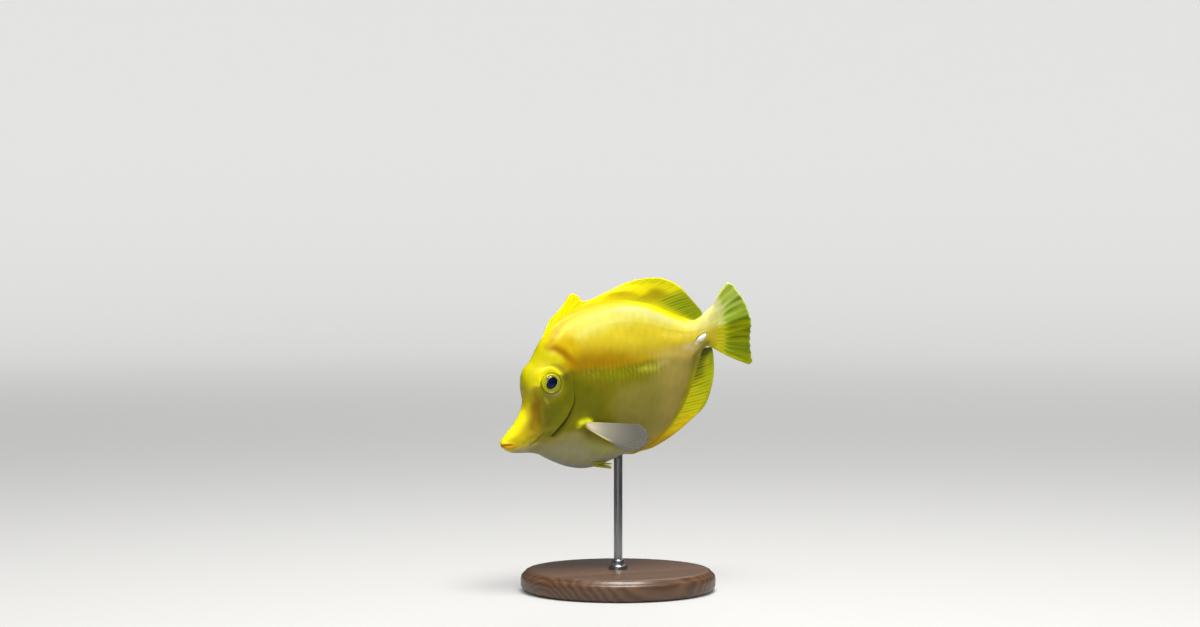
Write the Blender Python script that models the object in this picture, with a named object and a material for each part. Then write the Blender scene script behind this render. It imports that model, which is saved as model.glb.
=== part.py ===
"""A yellow tang at life size, swimming nose down with its tail swung to its left, held by one
short rod over a round base. The fish is laid out straight first, then bent and pitched.

Straight frame: X runs from the snout tip to the tail, Z from belly to back, and the fish's left
side faces -Y. Lengths in the tables below are shares of STANDARD_LENGTH, heights are measured
from the middle of the tail stalk.
"""

import math

import bmesh
import bpy
from mathutils import Matrix, Vector

# Driving dimensions, in metres and degrees.
STANDARD_LENGTH = 0.115  # snout tip to the end of the tail stalk
NOSE_DOWN = 21.6  # pitch of the whole fish
GAP = 0.0003  # between neighbouring solids

# The tail swings to the fish's left along two arcs, one in the body and one in the fin.
SWING_START, SWING_FIN = 0.55, 1.0  # where each arc begins, in standard lengths
BODY_SWING, FIN_SWING = 36.0, 46.0  # turn over each arc, in degrees
FIN_ARC = 0.24  # length of the second arc, in standard lengths

BODY_STATIONS, BODY_SIDES = 50, 28

# Sections of the body: back x and z, belly x and z, half width, and the height of the widest
# place from -1 at the belly to 1 at the back.
BODY_RIBS = (
    (0.000, -0.104, 0.000, -0.104, 0.000, 0.00),  # lips
    (0.004, -0.087, 0.008, -0.124, 0.015, 0.00),
    (0.018, -0.077, 0.028, -0.145, 0.021, 0.00),
    (0.042, -0.064, 0.062, -0.162, 0.026, 0.00),  # snout
    (0.080, -0.046, 0.100, -0.177, 0.033, 0.00),
    (0.131, -0.006, 0.134, -0.198, 0.044, 0.05),  # chin
    (0.160, 0.036, 0.168, -0.236, 0.056, 0.15),
    (0.172, 0.092, 0.213, -0.279, 0.067, 0.25),
    (0.196, 0.134, 0.258, -0.311, 0.076, 0.25),  # brow
    (0.246, 0.163, 0.304, -0.333, 0.083, 0.25),  # eye
    (0.318, 0.220, 0.360, -0.345, 0.087, 0.20),  # nape
    (0.400, 0.250, 0.425, -0.348, 0.089, 0.15),
    (0.500, 0.257, 0.510, -0.351, 0.088, 0.10),  # deepest section
    (0.600, 0.247, 0.600, -0.350, 0.082, 0.05),
    (0.690, 0.222, 0.690, -0.320, 0.072, 0.00),
    (0.775, 0.180, 0.775, -0.262, 0.060, 0.00),
    (0.845, 0.116, 0.845, -0.184, 0.048, 0.00),
    (0.905, 0.066, 0.905, -0.097, 0.038, 0.00),
    (0.955, 0.056, 0.955, -0.066, 0.030, 0.00),  # tail stalk
    (1.010, 0.077, 1.010, -0.104, 0.019, 0.00),
    (1.065, 0.112, 1.065, -0.150, 0.010, 0.00),
)
SECTION_POWER = 2.2  # 2 is an ellipse, more is fuller

# Thin cuts that part the body into its named pieces, as x and z along each cut.
NECK_CUT = ((0.50, 0.50), (0.42, 0.25), (0.368, 0.02), (0.30, -0.16), (0.20, -0.28), (0.12, -0.50))
STALK_CUT = ((0.905, 0.40), (0.905, -0.40))
TAIL_CUT = ((1.085, 0.30), (0.985, -0.30))
LIP_CUT = ((0.052, 0.10), (0.060, -0.30))
MOUTH_CUT = ((-0.10, -0.095), (0.058, -0.129))

# Gill covers: a crescent behind the cheek, turned about a centre near the eye.
GILL_CENTRE = (0.195, 0.020)
GILL_RADII = (0.106, 0.152)
GILL_ANGLES = (0.0, -98.0)
GILL_DEPTH = 0.046  # its inner face, from the middle plane
GILL_STEPS = 14

EYE_CENTRE = (0.263, 0.056)
EYE_OFFSET = 0.055  # from the middle plane to the eyeball's centre
EYE_RADIUS, EYE_HALF_DEPTH = 0.040, 0.031

# Middle fins: each row is a ray, as base x on the body's ridge, then tip x and z.
DORSAL_RAYS = (
    (0.332, 0.393, 0.273),
    (0.362, 0.450, 0.308),
    (0.396, 0.496, 0.338),
    (0.430, 0.528, 0.318),
    (0.470, 0.550, 0.286),
    (0.520, 0.612, 0.280),
    (0.580, 0.690, 0.290),
    (0.645, 0.768, 0.294),
    (0.710, 0.848, 0.274),
    (0.768, 0.910, 0.227),
    (0.820, 0.952, 0.168),
    (0.868, 0.980, 0.108),
    (0.912, 0.988, 0.070),
)
ANAL_RAYS = (
    (0.490, 0.530, -0.364),
    (0.535, 0.596, -0.382),
    (0.585, 0.662, -0.376),
    (0.640, 0.738, -0.356),
    (0.700, 0.812, -0.325),
    (0.755, 0.876, -0.292),
    (0.805, 0.926, -0.238),
    (0.850, 0.956, -0.173),
    (0.890, 0.974, -0.110),
    (0.925, 0.976, -0.084),
)
TAIL_FAN_CENTRE = (0.90, 0.0)
TAIL_FAN_ANGLES = (33.4, -40.6)
TAIL_FAN_RADII = (0.294, 0.289, 0.279, 0.265, 0.275)  # from the upper lobe to the lower one
TAIL_BASE_HEIGHTS = (0.098, -0.104)

# Paired fins: each row is a ray, as base x and z, then tip x and z, before the fin is turned.
PECTORAL_RAYS = (
    (-0.011, 0.010, 0.217, 0.062),
    (-0.005, 0.005, 0.254, 0.040),
    (0.000, 0.000, 0.264, -0.004),
    (0.005, -0.005, 0.234, -0.042),
    (0.011, -0.010, 0.172, -0.052),
)
PECTORAL_PLACE = (0.325, -0.153, 0.091)  # x, z and distance from the middle plane
PECTORAL_TURNS = (35.0, 28.0, 0.0)  # swept down, spread outwards, upper edge tipped outwards
PELVIC_RAYS = (
    (0.000, 0.009, 0.085, 0.010),
    (0.000, 0.001, 0.092, -0.001),
    (0.004, -0.008, 0.072, -0.012),
)
PELVIC_PLACE = (0.326, -0.328, 0.039)
PELVIC_TURNS = (21.0, 4.0, 34.0)
FIN_BASE_THICKNESS, FIN_EDGE_THICKNESS = 0.0016, 0.0006

# Scalpel: the folded white spine in a groove on each side of the tail stalk.
SPINE_CENTRE = (0.953, -0.019)
SPINE_HALF_SIZES = (0.026, 0.010, 0.010)  # length, thickness and height
SPINE_OFFSET = 0.028
SPINE_LIFT = 18.0  # rear end up from the fish's axis

BASE_RADIUS, BASE_HEIGHT, BASE_BEVEL = 0.045, 0.010, 0.0015
ROD_RADIUS, ROD_RISE = 0.0020, 0.052  # rise from the base to the belly
ROD_SOCKET = 0.006  # how far the rod goes into the belly
ROD_PLACE = 0.455  # x of the rod on the belly line

YELLOW = ((0.86, 0.68, 0.02), 0.42)
CHEEK_YELLOW = ((0.62, 0.52, 0.03), 0.42)
FIN_YELLOW = ((0.68, 0.66, 0.03), 0.45)
CLEAR_FIN = ((0.72, 0.72, 0.62), 0.35)
EYE_COLOUR = ((0.70, 0.60, 0.05), 0.10)
SPINE_WHITE = ((0.92, 0.92, 0.90), 0.25)
WALNUT = ((0.10, 0.05, 0.025), 0.45)
STEEL = ((0.62, 0.62, 0.62), 0.28)


def along(rows, share):
    """The row at a share of the way along a smooth curve through evenly spaced rows."""
    place = min(max(share, 0.0), 1.0) * (len(rows) - 1)
    first = min(int(place), len(rows) - 2)
    t = place - first
    near = [rows[min(max(i, 0), len(rows) - 1)] for i in range(first - 1, first + 3)]
    return [
        0.5 * (2 * b + (c - a) * t + (2 * a - 5 * b + 4 * c - d) * t**2 + (3 * b - a - 3 * c + d) * t**3)
        for a, b, c, d in zip(*near)
    ]


def straight(x, z, y=0.0):
    """A point of the straight frame, in metres, from shares of the standard length."""
    return Vector((x, y, z)) * STANDARD_LENGTH


def swung(point):
    """The point after the tail has swung to the fish's left along the two arcs."""
    start, fin_start = SWING_START * STANDARD_LENGTH, SWING_FIN * STANDARD_LENGTH
    spans = (
        (start, fin_start - start, math.radians(BODY_SWING)),
        (fin_start, FIN_ARC * STANDARD_LENGTH, math.radians(FIN_SWING)),
    )
    if point.x <= start:
        return point.copy()
    centre, heading = Vector((start, 0, 0)), 0.0
    for begin, length, turn in spans:
        run = point.x - begin if begin > start else min(point.x - begin, length)
        if run <= 0:
            break
        radius, swept = length / turn, run * turn / length
        centre.x += radius * (math.sin(heading + swept) - math.sin(heading))
        centre.y -= radius * (math.cos(heading) - math.cos(heading + swept))
        heading += swept
    side = Vector((math.sin(heading), math.cos(heading), 0))
    return centre + side * point.y + Vector((0, 0, point.z))


def placing():
    """The pitch, and the shift that puts the rod's place on the belly over the base's centre."""
    pitch = Matrix.Rotation(-math.radians(NOSE_DOWN), 4, "Y")
    contact = pitch @ straight(ROD_PLACE, ridge_height(ROD_PLACE, math.pi))
    return Matrix.Translation(Vector((0, 0, BASE_HEIGHT + ROD_RISE)) - contact) @ pitch


def pose(mesh):
    """Bends and pitches a straight mesh into its place over the base."""
    place = placing()
    for vert in mesh.verts:
        vert.co = place @ swung(vert.co)


def material(name, finish, metallic=0.0):
    made = bpy.data.materials.new(name)
    made.use_nodes = True
    shader = made.node_tree.nodes["Principled BSDF"]
    shader.inputs["Base Color"].default_value = (*finish[0], 1.0)
    shader.inputs["Roughness"].default_value = finish[1]
    shader.inputs["Metallic"].default_value = metallic
    return made


def face_out(mesh):
    """Turns every face of a closed mesh outwards."""
    bmesh.ops.recalc_face_normals(mesh, faces=mesh.faces)
    if mesh.calc_volume(signed=True) < 0:
        bmesh.ops.reverse_faces(mesh, faces=mesh.faces)


def place_object(name, mesh, finish):
    """Puts a bmesh in the scene as a named object with its material, shaded smooth."""
    face_out(mesh)
    data = bpy.data.meshes.new(name)
    mesh.to_mesh(data)
    mesh.free()
    data.materials.append(finish)
    data.shade_smooth()
    data.set_sharp_from_angle(angle=math.radians(40))
    made = bpy.data.objects.new(name, data)
    bpy.context.scene.collection.objects.link(made)
    return made


def cut(mesh, cutter, operation="DIFFERENCE"):
    """The mesh after an exact Boolean with the cutter. Both are used up."""
    helpers = []
    for part in (mesh, cutter):
        face_out(part)
        data = bpy.data.meshes.new("helper")
        part.to_mesh(data)
        part.free()
        helpers.append(bpy.data.objects.new("helper", data))
        bpy.context.scene.collection.objects.link(helpers[-1])
    boolean = helpers[0].modifiers.new("cut", "BOOLEAN")
    boolean.operation, boolean.solver, boolean.object = operation, "EXACT", helpers[1]
    bpy.context.view_layer.update()
    result = bmesh.new()
    result.from_object(helpers[0], bpy.context.evaluated_depsgraph_get())
    for helper in helpers:
        bpy.data.objects.remove(helper)
    return result


def islands(mesh):
    """Each loose part of the mesh as its own bmesh, from the nose to the tail. Uses it up."""
    left, found = set(mesh.verts), []
    while left:
        group, edge = set(), [left.pop()]
        while edge:
            vert = edge.pop()
            group.add(vert)
            near = {e.other_vert(vert) for e in vert.link_edges} & left
            left -= near
            edge.extend(near)
        found.append(sorted(vert.index for vert in group))
    parts = []
    for kept in found:
        part, kept = mesh.copy(), set(kept)
        part.verts.ensure_lookup_table()
        bmesh.ops.delete(part, geom=[v for v in part.verts if v.index not in kept], context="VERTS")
        parts.append(part)
    mesh.free()
    return sorted(parts, key=lambda part: sum(v.co.x for v in part.verts) / len(part.verts))


def on_body(share, angle):
    """A point of the body's surface: share from nose to tail, angle from the back down the left."""
    back_x, back_z, belly_x, belly_z, half_width, widest = along(BODY_RIBS, share)
    height = math.cos(angle)
    reach = (height - widest) / (1 - widest if height > widest else -1 - widest)
    width = half_width * (1 - min(abs(reach), 1.0) ** SECTION_POWER) ** 0.5
    blend = 0.5 + 0.5 * height
    side = -1 if angle < math.pi else 1
    return straight(
        belly_x + (back_x - belly_x) * blend, belly_z + (back_z - belly_z) * blend, side * width
    )


def ridge_height(x, angle):
    """Height of the body's middle line at x, along the back at angle 0 or the belly at pi."""
    line = [on_body(k / 300, angle) / STANDARD_LENGTH for k in range(301)]
    for near, far in zip(line, line[1:]):
        if near.x <= x <= far.x:
            return near.z + (far.z - near.z) * (x - near.x) / (far.x - near.x)
    raise ValueError(f"the body has no ridge at {x}")


def body_mesh():
    mesh = bmesh.new()
    bmesh.ops.create_grid(mesh, x_segments=BODY_STATIONS, y_segments=BODY_SIDES, size=0.5)
    for vert in mesh.verts:
        vert.co = on_body(vert.co.x + 0.5, math.tau * (vert.co.y + 0.5))
    bmesh.ops.remove_doubles(mesh, verts=mesh.verts, dist=1e-6)
    bmesh.ops.holes_fill(mesh, edges=[edge for edge in mesh.edges if edge.is_boundary])
    return mesh


def cut_sheet(path):
    """A sheet as thick as the gap, along a path seen from the side and right through the fish."""
    sheet = bmesh.new()
    row = [sheet.verts.new(straight(x, z, -1.0)) for x, z in path]
    edges = [sheet.edges.new(pair) for pair in zip(row, row[1:])]
    swept = bmesh.ops.extrude_edge_only(sheet, edges=edges)["geom"]
    across = [item for item in swept if isinstance(item, bmesh.types.BMVert)]
    bmesh.ops.translate(sheet, vec=(0, 2 * STANDARD_LENGTH, 0), verts=across)
    bmesh.ops.solidify(sheet, geom=sheet.faces[:], thickness=GAP)
    return sheet


def gill_sector(side, grow=0.0):
    """The crescent of a gill cover as a turned block, grown all round by a clearance."""
    inner, outer = (radius * STANDARD_LENGTH for radius in GILL_RADII)
    inner, outer = inner - grow, outer + grow
    low = GILL_DEPTH * STANDARD_LENGTH - grow
    high = 0.2 * STANDARD_LENGTH
    turn = math.radians(GILL_ANGLES[1] - GILL_ANGLES[0])
    extra = grow / outer * math.copysign(1, turn)
    block = bmesh.new()
    corners = [(inner, low), (outer, low), (outer, high), (inner, high)]
    face = block.faces.new([block.verts.new((x, side * y, 0)) for x, y in corners])
    first = Matrix.Rotation(-math.radians(GILL_ANGLES[0]) + extra, 4, "Y")
    bmesh.ops.transform(block, matrix=first, verts=block.verts)
    bmesh.ops.spin(
        block, geom=[face, *face.edges, *face.verts], axis=(0, 1, 0), cent=(0, 0, 0),
        angle=-(turn + 2 * extra), steps=GILL_STEPS, use_duplicate=False,
    )
    bmesh.ops.translate(block, vec=straight(*GILL_CENTRE), verts=block.verts)
    return block


def eyeball(side, grow=0.0):
    ball = bmesh.new()
    bmesh.ops.create_uvsphere(ball, u_segments=20, v_segments=10, radius=1.0)
    flat, wide = EYE_HALF_DEPTH * STANDARD_LENGTH + grow, EYE_RADIUS * STANDARD_LENGTH + grow
    bmesh.ops.scale(ball, vec=(wide, wide, flat), verts=ball.verts)
    bmesh.ops.rotate(ball, matrix=Matrix.Rotation(math.pi / 2, 3, "X"), verts=ball.verts)
    bmesh.ops.translate(ball, vec=straight(*EYE_CENTRE, side * EYE_OFFSET), verts=ball.verts)
    return ball


def tail_spine(side, grow=0.0):
    blade = bmesh.new()
    bmesh.ops.create_uvsphere(blade, u_segments=12, v_segments=8, radius=1.0)
    long, thick, tall = (size * STANDARD_LENGTH + grow for size in SPINE_HALF_SIZES)
    bmesh.ops.rotate(blade, matrix=Matrix.Rotation(math.pi / 2, 3, "Y"), verts=blade.verts)
    bmesh.ops.scale(blade, vec=(long, thick, tall), verts=blade.verts)
    lift = Matrix.Rotation(-math.radians(SPINE_LIFT), 3, "Y")
    bmesh.ops.rotate(blade, matrix=lift, verts=blade.verts)
    bmesh.ops.translate(blade, vec=straight(*SPINE_CENTRE, side * SPINE_OFFSET), verts=blade.verts)
    return blade


def fin_plate(rays, columns, rows):
    """A closed plate over the rays, thick at their bases and thin at their tips."""
    plate = bmesh.new()
    bmesh.ops.create_grid(plate, x_segments=columns, y_segments=rows, size=0.5)
    for vert in plate.verts:
        base_x, base_z, tip_x, tip_z = along(rays, vert.co.x + 0.5)
        out = vert.co.y + 0.5
        half = 0.5 * (FIN_BASE_THICKNESS + (FIN_EDGE_THICKNESS - FIN_BASE_THICKNESS) * out)
        vert.co = straight(base_x + (tip_x - base_x) * out, base_z + (tip_z - base_z) * out)
        vert.co.y = -half
    rim = [edge for edge in plate.edges if edge.is_boundary]
    copied = bmesh.ops.duplicate(plate, geom=[*plate.verts, *plate.edges, *plate.faces])["geom"]
    far = [item for item in copied if isinstance(item, bmesh.types.BMVert)]
    for vert in far:
        vert.co.y = -vert.co.y
    far_rim = [e for e in copied if isinstance(e, bmesh.types.BMEdge) and e.is_boundary]
    bmesh.ops.bridge_loops(plate, edges=rim + far_rim)
    return plate


def middle_fin_rays(rows, angle):
    """Rays of a middle fin, each base standing a gap clear of the body's ridge."""
    clear = math.cos(angle) * 1.5 * GAP / STANDARD_LENGTH
    return [(x, ridge_height(x, angle) + clear, tip_x, tip_z) for x, tip_x, tip_z in rows]


def tail_fan_rays(count=9):
    """Rays of the tail fin, fanned from a centre inside the stalk."""
    (top_x, top_z), (low_x, low_z) = TAIL_CUT
    rays = []
    for k in range(count):
        share = k / (count - 1)
        angle = math.radians(TAIL_FAN_ANGLES[0] + (TAIL_FAN_ANGLES[1] - TAIL_FAN_ANGLES[0]) * share)
        (radius,) = along([(r,) for r in TAIL_FAN_RADII], share)
        base_z = TAIL_BASE_HEIGHTS[0] + (TAIL_BASE_HEIGHTS[1] - TAIL_BASE_HEIGHTS[0]) * share
        base_x = low_x + (top_x - low_x) * (base_z - low_z) / (top_z - low_z) + 1.2 * GAP / STANDARD_LENGTH
        tip = (TAIL_FAN_CENTRE[0] + radius * math.cos(angle), TAIL_FAN_CENTRE[1] + radius * math.sin(angle))
        rays.append((base_x, base_z, *tip))
    return rays


def side_fin(rays, side, place, turns):
    """A paired fin, turned about its base and set on one side of the fish."""
    fin = fin_plate(rays, 10, 5)
    down, outwards, tip_over = (math.radians(turn) for turn in turns)
    turned = Matrix.Rotation(side * outwards, 4, "Z") @ Matrix.Rotation(down, 4, "Y")
    turned = turned @ Matrix.Rotation(-side * tip_over, 4, "X")
    x, z, offset = place
    bmesh.ops.transform(
        fin, matrix=Matrix.Translation(straight(x, z, side * offset)) @ turned, verts=fin.verts
    )
    return fin


def build_body(skin, cheek):
    """Head, jaws, trunk, tail stalk and gill covers, parted from one whole body."""
    whole = body_mesh()
    for side in (-1, 1):
        whole = cut(whole, eyeball(side, GAP))
        whole = cut(whole, tail_spine(side, GAP))
    covers = {side: cut(whole.copy(), gill_sector(side), "INTERSECT") for side in (-1, 1)}
    for side in (-1, 1):
        whole = cut(whole, gill_sector(side, GAP))
    for path in (NECK_CUT, STALK_CUT, LIP_CUT, MOUTH_CUT, TAIL_CUT):
        whole = cut(whole, cut_sheet(path))
    parts = islands(whole)
    parts.pop().free()  # beyond the fleshy tail's end
    tail, trunk, head = parts.pop(), parts.pop(), parts.pop()
    lower, upper = sorted(parts, key=lambda part: sum(v.co.z for v in part.verts) / len(part.verts))
    named = {"head": head, "trunk": trunk, "tail_stalk": tail, "upper_jaw": upper, "lower_jaw": lower}
    for name, part in named.items():
        pose(part)
        if name == "trunk":
            part = cut(part, rod_mesh(GAP))
        place_object(name, part, skin)
    for name, side in (("gill_cover_left", -1), ("gill_cover_right", 1)):
        pose(covers[side])
        place_object(name, covers[side], cheek)


def build_fins(yellow, clear):
    plates = {
        "dorsal_fin": (fin_plate(middle_fin_rays(DORSAL_RAYS, 0.0), 32, 5), yellow),
        "anal_fin": (fin_plate(middle_fin_rays(ANAL_RAYS, math.pi), 24, 4), yellow),
        "caudal_fin": (fin_plate(tail_fan_rays(), 14, 7), yellow),
    }
    for name, side in (("left", -1), ("right", 1)):
        pectoral = side_fin(PECTORAL_RAYS, side, PECTORAL_PLACE, PECTORAL_TURNS)
        pelvic = side_fin(PELVIC_RAYS, side, PELVIC_PLACE, PELVIC_TURNS)
        plates["pectoral_fin_" + name] = (pectoral, clear)
        plates["pelvic_fin_" + name] = (pelvic, yellow)
    for name, (mesh, finish) in plates.items():
        pose(mesh)
        place_object(name, mesh, finish)


def build_eyes_and_spines(eye, white):
    for name, side in (("left", -1), ("right", 1)):
        for stem, mesh, finish in (("eye_", eyeball(side), eye), ("tail_spine_", tail_spine(side), white)):
            pose(mesh)
            place_object(stem + name, mesh, finish)


def rod_mesh(grow=0.0):
    rod = bmesh.new()
    length = ROD_RISE + ROD_SOCKET - GAP + grow
    bmesh.ops.create_cone(
        rod, cap_ends=True, segments=20, radius1=ROD_RADIUS + grow, radius2=ROD_RADIUS + grow, depth=length
    )
    bmesh.ops.translate(rod, vec=(0, 0, BASE_HEIGHT + GAP + length / 2), verts=rod.verts)
    return rod


def build_stand(wood, steel):
    disc = bmesh.new()
    bmesh.ops.create_cone(
        disc, cap_ends=True, segments=72, radius1=BASE_RADIUS, radius2=BASE_RADIUS, depth=BASE_HEIGHT
    )
    bmesh.ops.translate(disc, vec=(0, 0, BASE_HEIGHT / 2), verts=disc.verts)
    upper_rim = [e for e in disc.edges if all(v.co.z > BASE_HEIGHT / 2 for v in e.verts)]
    bmesh.ops.bevel(
        disc, geom=upper_rim, offset=BASE_BEVEL, segments=3, profile=0.5, affect="EDGES", clamp_overlap=True
    )
    place_object("stand_base", disc, wood)
    place_object("stand_rod", rod_mesh(), steel)


def main():
    for old in list(bpy.data.objects):
        bpy.data.objects.remove(old)
    build_body(material("body_skin", YELLOW), material("cheek_skin", CHEEK_YELLOW))
    build_fins(material("fin_skin", FIN_YELLOW), material("clear_fin", CLEAR_FIN))
    build_eyes_and_spines(material("eye", EYE_COLOUR), material("tail_spine", SPINE_WHITE))
    build_stand(material("stand_wood", WALNUT), material("stand_steel", STEEL, 1.0))


main()
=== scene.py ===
import math

import bmesh
import bpy
import numpy as np
from mathutils import Matrix, Vector


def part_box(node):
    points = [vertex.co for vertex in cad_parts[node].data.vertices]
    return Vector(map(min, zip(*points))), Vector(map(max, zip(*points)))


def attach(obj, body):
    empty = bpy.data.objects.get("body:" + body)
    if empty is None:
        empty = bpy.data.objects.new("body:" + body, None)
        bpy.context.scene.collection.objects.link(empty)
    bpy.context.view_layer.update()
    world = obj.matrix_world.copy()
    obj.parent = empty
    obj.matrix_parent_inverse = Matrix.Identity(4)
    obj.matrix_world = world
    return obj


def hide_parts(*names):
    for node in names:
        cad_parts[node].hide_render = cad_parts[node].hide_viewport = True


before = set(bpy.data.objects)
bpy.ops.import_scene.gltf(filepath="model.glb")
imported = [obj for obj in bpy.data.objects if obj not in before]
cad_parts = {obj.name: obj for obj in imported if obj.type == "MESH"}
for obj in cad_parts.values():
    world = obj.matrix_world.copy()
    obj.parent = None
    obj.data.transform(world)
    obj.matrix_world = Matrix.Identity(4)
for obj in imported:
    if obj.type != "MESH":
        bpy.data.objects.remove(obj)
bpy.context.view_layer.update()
print("frame loaded")

# The fish is laid out straight first: x from the snout to the tail, z up, its left side at -y,
# in shares of the standard length. Tables of points are in thousandths of it.
# Then the tail swings and the whole fish pitches.
fish = {
    "standardLength": 0.115,  # metres
    "noseDown": 21.6,  # degrees, like the two swings
    "swingStart": 0.55,
    "finStart": 1.0,
    "finArc": 0.24,
    "bodySwing": 36.0,
    "finSwing": 46.0,
    "rodPlace": 0.455,
    "bellyHeight": 0.062,  # metres above the floor
    "fullness": 2.2,
}

# back x and z, belly x and z, half width, height of the widest place from -1000 to 1000
bodyRibs = (
    (0, -104, 0, -104, 0, 0), (4, -87, 8, -124, 15, 0), (18, -77, 28, -145, 21, 0),
    (42, -64, 62, -162, 26, 0), (80, -46, 100, -177, 33, 0), (131, -6, 134, -198, 44, 50),
    (160, 36, 168, -236, 56, 150), (172, 92, 213, -279, 67, 250), (196, 134, 258, -311, 76, 250),
    (246, 163, 304, -333, 83, 250), (318, 220, 360, -345, 87, 200), (400, 250, 425, -348, 89, 150),
    (500, 257, 510, -351, 88, 100), (600, 247, 600, -350, 82, 50), (690, 222, 690, -320, 72, 0),
    (775, 180, 775, -262, 60, 0), (845, 116, 845, -184, 48, 0), (905, 66, 905, -97, 38, 0),
    (955, 56, 955, -66, 30, 0), (1015, 80, 979, -81, 19, 0), (1072, 116, 1000, -96, 3, 0))


def smoothRows(rows, share):
    # a smooth curve through evenly spaced rows
    rows = np.array(rows, float) / 1000
    last = len(rows) - 1
    place = np.clip(share, 0, 1) * last
    first = np.minimum(place.astype(int), last - 1)
    t = (place - first)[..., None]
    a, b, c, d = (rows[np.clip(first + k, 0, last)] for k in (-1, 0, 1, 2))
    bent, turned = 2 * a - 5 * b + 4 * c - d, 3 * b - a - 3 * c + d
    return 0.5 * (2 * b + (c - a) * t + bent * t**2 + turned * t**3)


def ramp(value, low, high):
    t = np.clip((value - low) / (high - low), 0, 1)
    return t * t * (3 - 2 * t)


def hump(value, width):
    return np.exp(-((value / width) ** 2))


def alongPath(x, z, path):
    # nearest place on a path: distance, share of the way, side (1 on its left), and the path's width there
    path = np.array([(*point, 0)[:3] for point in path], float) / 1000
    best = np.full(x.shape, np.inf)
    share, side, width = np.zeros(x.shape), np.ones(x.shape), np.zeros(x.shape)
    steps = np.hypot(*np.diff(path[:, :2], axis=0).T)
    travelled = np.concatenate([[0], np.cumsum(steps)]) / steps.sum()
    for k, step in enumerate(steps):
        ax, az, aw = path[k]
        dx, dz, dw = path[k + 1] - path[k]
        t = np.clip(((x - ax) * dx + (z - az) * dz) / step**2, 0, 1)
        gap = np.hypot(x - ax - t * dx, z - az - t * dz)
        near = gap < best
        best = np.where(near, gap, best)
        share = np.where(near, travelled[k] + t * (travelled[k + 1] - travelled[k]), share)
        side = np.where(near, np.sign(dx * (z - az) - dz * (x - ax)), side)
        width = np.where(near, aw + t * dw, width)
    return best, share, side, width


def gapTo(x, z, path):
    return alongPath(x, z, path)[0]


waves = ((0.3, 1), (1.4, 0.83), (2.3, 0.61), (0.9, 0.47), (1.9, 0.37))  # turn and length of each


def wobble(x, z, size, seed=0.0):
    # a gentle wandering value between about -1 and 1
    total = 0
    for k, (turn, reach) in enumerate(waves):
        way = x * math.cos(turn) + z * math.sin(turn)
        total = total + np.sin(way / (size * reach) * 2.6 + seed + k * 1.7)
    return total / 3.2


def onBody(share, angle):
    # surface point: share from nose to tail, angle from the back down the left side
    backX, backZ, bellyX, bellyZ, halfWidth, widest = np.moveaxis(smoothRows(bodyRibs, share), -1, 0)
    height = np.cos(angle)
    reach = (height - widest) / np.where(height > widest, 1 - widest, -1 - widest)
    width = halfWidth * np.sqrt(1 - np.minimum(np.abs(reach), 1) ** fish["fullness"])
    blend = 0.5 + 0.5 * height
    side = np.where(angle < math.pi, -1, 1)
    return np.stack([bellyX + (backX - bellyX) * blend, side * width, bellyZ + (backZ - bellyZ) * blend], -1)


def ridgeHeight(x, angle):
    # height of the back (angle 0) or the belly (angle pi) at x
    line = onBody(np.linspace(0, 1, 601), np.full(601, angle))
    return np.interp(x, line[:, 0], line[:, 2])


def poseFish(points):
    # straight shares to the row frame in metres
    length = fish["standardLength"]
    x, y, z = np.array(points, float).T * length
    start, finStart = fish["swingStart"] * length, fish["finStart"] * length
    spans = (
        (start, finStart - start, math.radians(fish["bodySwing"]), finStart - start),
        (finStart, fish["finArc"] * length, math.radians(fish["finSwing"]), math.inf),
    )
    centreX, centreY, heading = np.minimum(x, start), np.zeros_like(x), np.zeros_like(x)
    for begin, span, turn, most in spans:
        swept = np.clip(x - begin, 0, most) * turn / span
        centreX = centreX + span / turn * (np.sin(heading + swept) - np.sin(heading))
        centreY = centreY - span / turn * (np.cos(heading) - np.cos(heading + swept))
        heading = heading + swept
    swung = np.stack([centreX + np.sin(heading) * y, centreY + np.cos(heading) * y, z], -1)
    pitch = np.array(Matrix.Rotation(-math.radians(fish["noseDown"]), 3, "Y"))
    place = fish["rodPlace"]
    contact = pitch @ (np.array([place, 0, ridgeHeight(place, math.pi)]) * length)
    return swung @ pitch.T + np.array([0, 0, fish["bellyHeight"]]) - contact


def gridMesh(columns, rows):
    # a flat grid from 0 to 1 both ways
    mesh = bmesh.new()
    bmesh.ops.create_grid(mesh, x_segments=columns, y_segments=rows, size=0.5)
    bmesh.ops.translate(mesh, vec=(0.5, 0.5, 0), verts=mesh.verts)
    return mesh


def placesOf(mesh):
    return np.array([vert.co for vert in mesh.verts])


def movePoints(mesh, points):
    for vert, point in zip(mesh.verts, points):
        vert.co = point


def keepValues(mesh, name, values):
    # a vector value on each vertex, which the materials read by name
    layer = mesh.verts.layers.float_vector.new(name)
    for vert, value in zip(mesh.verts, values):
        vert[layer] = value


def faceOut(mesh):
    bmesh.ops.recalc_face_normals(mesh, faces=mesh.faces)
    if mesh.calc_volume(signed=True) < 0:
        bmesh.ops.reverse_faces(mesh, faces=mesh.faces)


def addObject(name, data):
    made = bpy.data.objects.new(name, data)
    bpy.context.scene.collection.objects.link(made)
    return made


def meshObject(name, mesh, material):
    data = bpy.data.meshes.new(name)
    mesh.to_mesh(data)
    mesh.free()
    data.materials.append(material)
    data.shade_smooth()
    return addObject(name, data)


def finishPiece(name, mesh, material, replaced):
    faceOut(mesh)
    piece = meshObject(name, mesh, material)
    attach(piece, "root")
    if replaced:
        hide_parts(*replaced)
    print(name, sum(len(face.vertices) - 2 for face in piece.data.polygons), "triangles")
    return piece


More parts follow.
